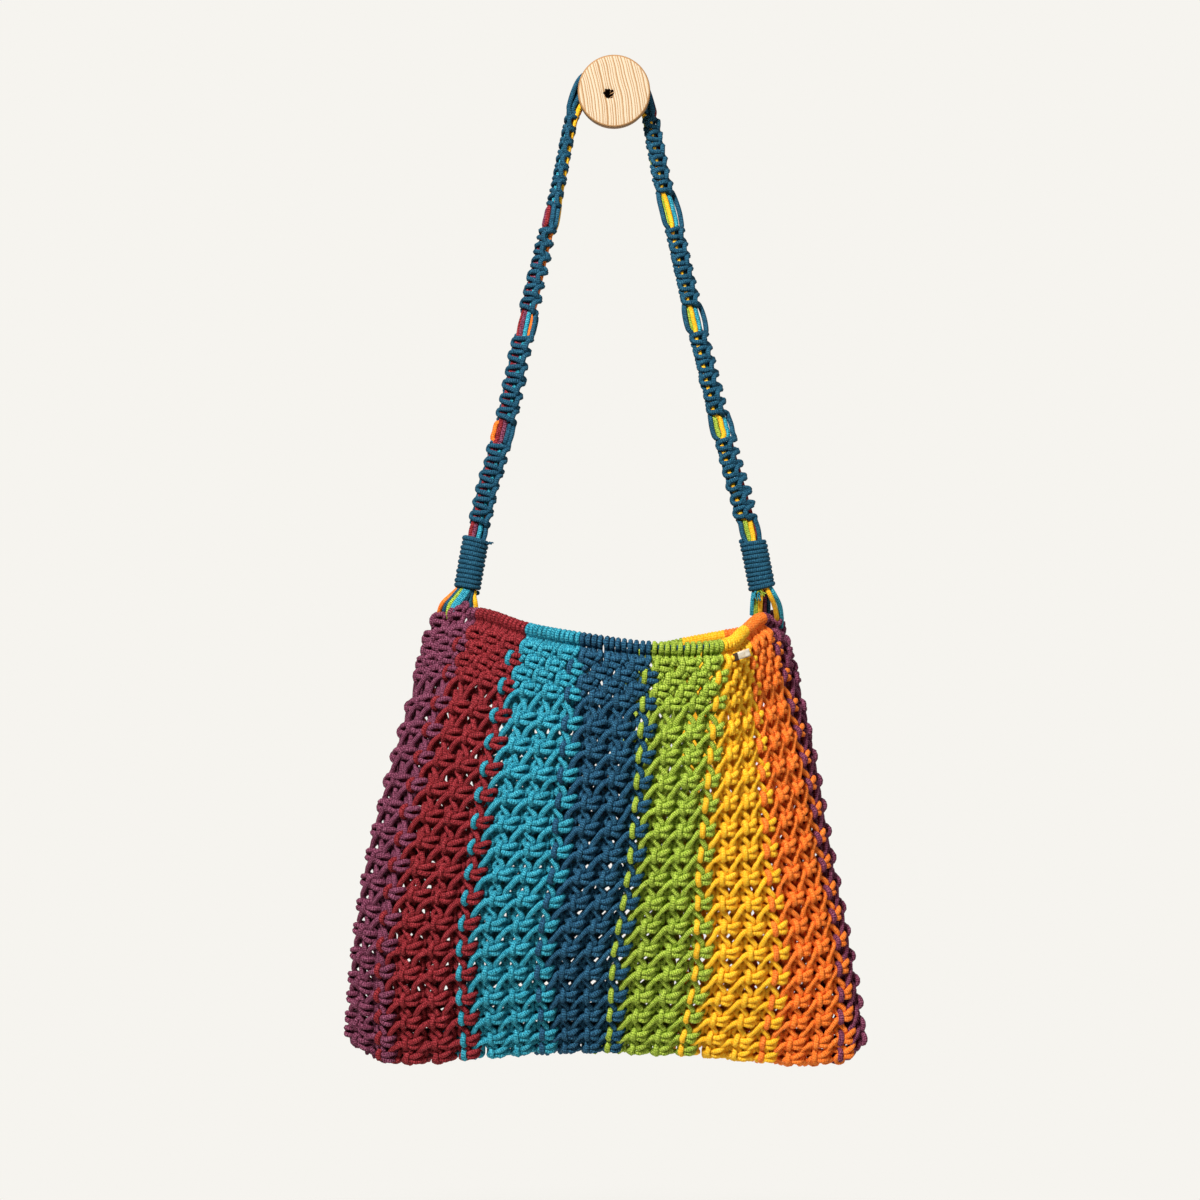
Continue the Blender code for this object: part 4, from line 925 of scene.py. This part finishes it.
def turned_pine():
    """Sanded pine: pale earlywood with thin darker growth lines that run up the face, faint pores."""
    made, tree, shader = new_material("sanded_pine")
    place = add_node(tree, "ShaderNodeTexCoord")
    # The tree's middle lay far to the left, a little below, so the lines lean at the top only
    bend = add_node(tree, "ShaderNodeTexNoise",
                    {"Vector": place.outputs["Object"], "Scale": 26.0, "Detail": 2.0})
    shifted = add_node(tree, "ShaderNodeMapping",
                       {"Vector": place.outputs["Object"], "Location": (0.19, 0.0, 0.030),
                        "Scale": (1.0, 0.05, 1.0)})
    warped = add_node(tree, "ShaderNodeVectorMath",
                      {0: bend.outputs["Color"], 1: (0.006, 0.0, 0.003), 2: shifted.outputs[0]},
                      operation="MULTIPLY_ADD")
    radius = add_node(tree, "ShaderNodeVectorMath", {0: warped.outputs[0]}, operation="LENGTH")
    # Growth lines 2.2 mm apart, wider in some years and closer in others
    years = add_node(tree, "ShaderNodeTexNoise",
                     {"W": radius.outputs["Value"], "Scale": 190.0, "Detail": 1.0},
                     noise_dimensions="1D")
    uneven = add_node(tree, "ShaderNodeMath",
                      {0: years.outputs[0], 1: 0.0026, 2: radius.outputs["Value"]},
                      operation="MULTIPLY_ADD")
    rings = add_node(tree, "ShaderNodeMath", {0: uneven.outputs[0], 1: 1 / 0.0022},
                     operation="MULTIPLY")
    saw = add_node(tree, "ShaderNodeMath", {0: rings.outputs[0]}, operation="FRACT")
    line = add_node(tree, "ShaderNodeValToRGB", {0: saw.outputs[0]})
    ramp = line.color_ramp
    ramp.elements[0].position = 0.0
    ramp.elements[0].color = linear("#D2BFA4")
    ramp.elements[1].position = 1.0
    ramp.elements[1].color = linear("#CDB898")
    for position, code in ((0.42, "#CEB999"), (0.66, "#B8946A"), (0.84, "#96683A"),
                           (0.94, "#B8946A")):
        ramp.elements.new(position).color = linear(code)
    # Fine fibres along the grain, 0.45 mm apart
    grain_place = add_node(tree, "ShaderNodeMapping",
                           {"Vector": place.outputs["Object"], "Rotation": (0.0, radians(5), 0.0),
                            "Scale": (2200.0, 300.0, 160.0)})
    grain = add_node(tree, "ShaderNodeTexNoise",
                     {"Vector": grain_place.outputs[0], "Scale": 1.0, "Detail": 3.0})
    faded = add_node(tree, "ShaderNodeMapRange",
                     {0: grain.outputs[0], 1: 0.3, 2: 0.7, 3: 0.92, 4: 1.05})
    coloured = add_node(tree, "ShaderNodeHueSaturation",
                        {"Value": faded.outputs[0], "Color": line.outputs[0]})
    relief = add_node(tree, "ShaderNodeBump",
                      {"Strength": 0.35, "Distance": 0.0002, "Height": grain.outputs[0]})
    tree.links.new(coloured.outputs[0], shader.inputs["Base Color"])
    tree.links.new(relief.outputs[0], shader.inputs["Normal"])
    shader.inputs["Roughness"].default_value = 0.62
    shader.inputs["IOR"].default_value = 1.5
    shader.inputs["Specular IOR Level"].default_value = 0.3
    return made


disc_back = DISC_FRONT - DISC_THICKNESS
quarter = [radians(a) for a in (0, 22.5, 45, 67.5, 90)]
# share of the way from the knob's middle to the screw's, radius, depth
profile = [(0, NECK_RADIUS, 0.0), (0, NECK_RADIUS, disc_back - NECK_ROOT_EDGE)]
profile += [(0, NECK_RADIUS + NECK_ROOT_EDGE * (1 - cos(a)), disc_back - NECK_ROOT_EDGE * (1 - sin(a)))
            for a in quarter[1:]]
profile += [(0, DISC_RADIUS - EDGE_ROUND * (1 - sin(a)), disc_back + EDGE_ROUND * (1 - cos(a)))
            for a in quarter]
profile += [(0, DISC_RADIUS - EDGE_ROUND * (1 - cos(a)), DISC_FRONT - EDGE_ROUND * (1 - sin(a)))
            for a in quarter]
profile += [(0.0, 0.024, DISC_FRONT), (0.35, 0.017, DISC_FRONT), (0.8, 0.009, DISC_FRONT),
            (1.0, HOLE_RADIUS + TORN_DEPTH, DISC_FRONT), (1.0, HOLE_RADIUS + 0.0003, DISC_FRONT - 0.0002),
            (1.0, HOLE_RADIUS, DISC_FRONT - 0.0008), (1.0, HOLE_RADIUS * 0.95, DISC_FRONT - 0.004),
            (1.0, HOLE_RADIUS * 0.9, DISC_FRONT - HOLE_DEPTH)]
knob_points = []
torn = dice.normal(0, 1, KNOB_SIDES)
torn = sum(np.roll(torn, k) for k in range(TORN_SIDES)) / TORN_SIDES
for number, (share, radius, depth) in enumerate(profile):
    ragged = TORN_DEPTH if len(profile) - HOLE_RINGS - 1 < number < len(profile) - 1 else 0.0
    for k in range(KNOB_SIDES):
        angle = 2 * pi * k / KNOB_SIDES
        size = radius + ragged * torn[k]
        knob_points.append((KNOB_CENTRE[0] * (1 - share) + size * cos(angle), -depth,
                            KNOB_CENTRE[1] * (1 - share) + size * sin(angle)))
knob_faces = []
for r in range(len(profile) - 1):
    for k in range(KNOB_SIDES):
        after = (k + 1) % KNOB_SIDES
        knob_faces.append((r * KNOB_SIDES + k, r * KNOB_SIDES + after,
                           (r + 1) * KNOB_SIDES + after, (r + 1) * KNOB_SIDES + k))
knob_faces.append(tuple(range(KNOB_SIDES))[::-1])
knob_faces.append(tuple((len(profile) - 1) * KNOB_SIDES + k for k in range(KNOB_SIDES)))
knob_mesh = bpy.data.meshes.new("knob")
knob_mesh.from_pydata(knob_points, [], knob_faces)
knob_mesh.shade_smooth()
knob_mesh.set_sharp_from_angle(angle=radians(40))
# The screw hole's wall and bottom are painted dark brown: painted shade inside the hole
hole_shade_paint = new_material("screw_hole_painted_shade")
hole_shade_paint[2].inputs["Base Color"].default_value = linear("#4A2E1A")
hole_shade_paint[2].inputs["Roughness"].default_value = 0.9
add_piece("knob", knob_mesh, turned_pine(), "pine", "wall_knob")
knob_mesh.materials.append(hole_shade_paint[0])
edge_wood = new_material("turned_pine_edge")
edge_wood[2].inputs["Base Color"].default_value = linear("#A87C4C")
edge_wood[2].inputs["Roughness"].default_value = 0.7
knob_mesh.materials.append(edge_wood[0])
for face in knob_mesh.polygons:
    ring = min(face.vertices) // KNOB_SIDES
    if ring >= len(profile) - HOLE_RINGS:
        face.material_index = 1
    elif EDGE_RINGS[0] <= ring < EDGE_RINGS[1]:
        face.material_index = 2

# Splinters that stand across the hole, from its wall inwards: x, z and depth of each end
SPLINTERS = (((0.0040, 0.0014, 0.0592), (0.0006, -0.0004, 0.0586)),
             ((0.0036, -0.0016, 0.0588), (0.0004, -0.0030, 0.0582)),
             ((0.0016, 0.0040, 0.0592), (0.0010, 0.0008, 0.0570)))
SPLINTER_RADIUS = 0.0007
SPLINTER_SIDES = 5
splinter_lines = [[(x0 + (x1 - x0) * s, -(y0 + (y1 - y0) * s), z0 + (z1 - z0) * s)
                   for s in (0.0, 0.25, 0.5, 0.75, 1.0)] for (x0, z0, y0), (x1, z1, y1) in SPLINTERS]
add_piece("splinters", cord_mesh("splinters", splinter_lines, SPLINTER_RADIUS, SPLINTER_SIDES,
                                 ((0.0, 1.0), (1.0, 0.25))), edge_wood[0], "pine")


# Tag
# A short strip of pale stiff tape, folded in two and caught by its left end between the cords of
# the yellow band. It is bare.
TAG_WIDTH = 0.0142
TAG_HEIGHT = 0.0058
TAG_LEAF = 0.00042
TAG_COLUMN = 12.45
TAG_DOWN = 0.046
TAG_LIFT = 0.0065
TAG_TURN = radians(25)
TAG_TILT = radians(17)
TAG_CURL = 0.0004


def stiff_tape():
    """Woven cotton tape stiffened with size: off-white, matt, with threads 0.16 mm apart."""
    made, tree, shader = new_material("stiff_cotton_tape")
    place = add_node(tree, "ShaderNodeTexCoord")
    threads = add_node(tree, "ShaderNodeTexWave",
                       {"Vector": place.outputs["Object"], "Scale": 2000.0, "Distortion": 1.5},
                       bands_direction="X")
    stain = add_node(tree, "ShaderNodeTexNoise",
                     {"Vector": place.outputs["Object"], "Scale": 300.0})
    tone = add_node(tree, "ShaderNodeValToRGB", {0: stain.outputs[0]})
    tone.color_ramp.elements[0].color = linear("#C4B090")
    tone.color_ramp.elements[0].position = 0.3
    tone.color_ramp.elements[1].color = linear("#DDD2BF")
    tone.color_ramp.elements[1].position = 0.6
    relief = add_node(tree, "ShaderNodeBump",
                      {"Strength": 0.3, "Distance": 0.0001, "Height": threads.outputs[1]})
    tree.links.new(tone.outputs[0], shader.inputs["Base Color"])
    tree.links.new(relief.outputs[0], shader.inputs["Normal"])
    shader.inputs["Roughness"].default_value = 0.75
    return made


tag_root = net_place(np.array([TAG_COLUMN]), np.array([TAG_DOWN]), np.array([TAG_LIFT]))[0][0]
face_way = np.array((sin(TAG_TURN), -cos(TAG_TURN), 0.0))
level = np.array((cos(TAG_TURN), sin(TAG_TURN), 0.0))
wide_way = level * cos(TAG_TILT) + np.array((0.0, 0.0, sin(TAG_TILT)))
tall_way = np.cross(face_way, wide_way)
# Way of the tape's middle line, share of the width and lift: out along the back leaf, round the
# fold and home along the front leaf
tag_line = [(0.0, 0.0001), (0.25, 0.0000), (0.70, 0.0001), (0.93, 0.0002), (0.985, 0.0005),
            (0.985, 0.0009), (0.93, 0.0012), (0.70, 0.0012), (0.25, 0.0011), (0.04, 0.0010)]
tag_points = []
TALL_STEPS = 4
for share, lift in tag_line:
    for step in range(TALL_STEPS + 1):
        rise = step / TALL_STEPS - 0.5
        curl = TAG_CURL * (rise * 2) ** 2 * share
        tag_points.append(tag_root + wide_way * share * TAG_WIDTH + tall_way * rise * TAG_HEIGHT
                          + face_way * (lift + curl))
tag_faces = []
for r in range(len(tag_line) - 1):
    for k in range(TALL_STEPS):
        tag_faces.append((r * (TALL_STEPS + 1) + k, r * (TALL_STEPS + 1) + k + 1,
                          (r + 1) * (TALL_STEPS + 1) + k + 1, (r + 1) * (TALL_STEPS + 1) + k))
tag_mesh = bpy.data.meshes.new("tag")
tag_mesh.from_pydata([tuple(p) for p in tag_points], [], tag_faces)
tag_mesh.shade_smooth()
# The caught end, where it goes in between the cords, is painted dark brown as shade
tag_end_painted_shade = new_material("tag_end_painted_shade")
tag_end_painted_shade[2].inputs["Base Color"].default_value = linear("#3A2414")
tag_end_painted_shade[2].inputs["Roughness"].default_value = COTTON_ROUGHNESS
tag = add_piece("tag", tag_mesh, stiff_tape(), "tag_board", "side_tag")
tag_mesh.materials.append(tag_end_painted_shade[0])
# Both leaves' caught ends take the painted shade
for face in list(tag_mesh.polygons)[:TALL_STEPS] + list(tag_mesh.polygons)[-TALL_STEPS:]:
    face.material_index = 1
thickness = tag.modifiers.new("thickness", "SOLIDIFY")
thickness.thickness = TAG_LEAF
thickness.offset = 0


# Floor and light
# A pale floor that fades out, a lit screen behind the bag, a soft lamp at the upper left and a
# weaker one at the right.
FLOOR_HEIGHT = -1.25
FLOOR_RADIUS = 5.0
FLOOR_SIDES = 64
floor_points = [(FLOOR_RADIUS * cos(2 * pi * k / FLOOR_SIDES),
                 FLOOR_RADIUS * sin(2 * pi * k / FLOOR_SIDES), FLOOR_HEIGHT)
                for k in range(FLOOR_SIDES)]
floor_mesh = bpy.data.meshes.new("floor")
floor_mesh.from_pydata(floor_points, [], [tuple(range(FLOOR_SIDES))])
floor = bpy.data.objects.new("floor", floor_mesh)
bpy.context.scene.collection.objects.link(floor)
STUDIO_WHITE = "#F6F4EF"
SCREEN_LIGHT = 1.0
WALL_LIGHT = 0.16
ROOM_LIGHT = 0.03
floor_paint, tree, shader = new_material("pale_floor")
shader.inputs["Base Color"].default_value = linear(STUDIO_WHITE)
shader.inputs["Roughness"].default_value = 0.9
shader.inputs["Specular IOR Level"].default_value = 0.1
place = add_node(tree, "ShaderNodeTexCoord")
flat = add_node(tree, "ShaderNodeVectorMath", {0: place.outputs["Object"], 1: (1.0, 1.0, 0.0)},
                operation="MULTIPLY")
radius = add_node(tree, "ShaderNodeVectorMath", {0: flat.outputs[0]}, operation="LENGTH")
fade = add_node(tree, "ShaderNodeMapRange",
                {0: radius.outputs["Value"], 1: 0.5, 2: 1.5, 3: 1.0, 4: 0.0},
                interpolation_type="SMOOTHSTEP")
tree.links.new(fade.outputs[0], shader.inputs["Alpha"])
floor_mesh.materials.append(floor_paint)

world = bpy.data.worlds.new("studio")
world.use_nodes = True
sky = world.node_tree
sky.nodes.clear()
place = add_node(sky, "ShaderNodeTexCoord")
way = add_node(sky, "ShaderNodeSeparateXYZ", {0: place.outputs["Generated"]})
# The screen behind the bag is lit, the room's walls are dimmer, its ceiling and floor dark
screen = add_node(sky, "ShaderNodeMapRange",
                  {0: way.outputs[1], 1: 0.2, 2: 0.9, 3: ROOM_LIGHT, 4: SCREEN_LIGHT},
                  interpolation_type="SMOOTHSTEP")
level = add_node(sky, "ShaderNodeMath", {0: way.outputs[2]}, operation="ABSOLUTE")
walls = add_node(sky, "ShaderNodeMapRange",
                 {0: level.outputs[0], 1: 0.25, 2: 0.5, 3: WALL_LIGHT, 4: ROOM_LIGHT},
                 interpolation_type="SMOOTHSTEP")
glow = add_node(sky, "ShaderNodeMath", {0: screen.outputs[0], 1: walls.outputs[0]},
                operation="MAXIMUM")
shine = add_node(sky, "ShaderNodeBackground", {0: linear(STUDIO_WHITE), 1: glow.outputs[0]})
add_node(sky, "ShaderNodeOutputWorld", {0: shine.outputs[0]})
bpy.context.scene.world = world
bpy.context.scene.view_settings.view_transform = "Standard"

# name, place, aim, size, power
LAMPS = (
    ("key_lamp", (-0.75, -2.0, 1.2), (0.0, -0.06, -0.45), 0.4, 104.0),
    ("fill_lamp", (1.9, -1.2, 0.4), (0.0, -0.06, -0.5), 0.6, 13.0),
)
for name, place, aim, size, power in LAMPS:
    lamp = bpy.data.lights.new(name, "AREA")
    lamp.size = size
    lamp.energy = power
    holder = bpy.data.objects.new(name, lamp)
    holder.location = place
    holder.rotation_euler = (Vector(aim) - Vector(place)).to_track_quat("-Z", "Y").to_euler()
    bpy.context.scene.collection.objects.link(holder)
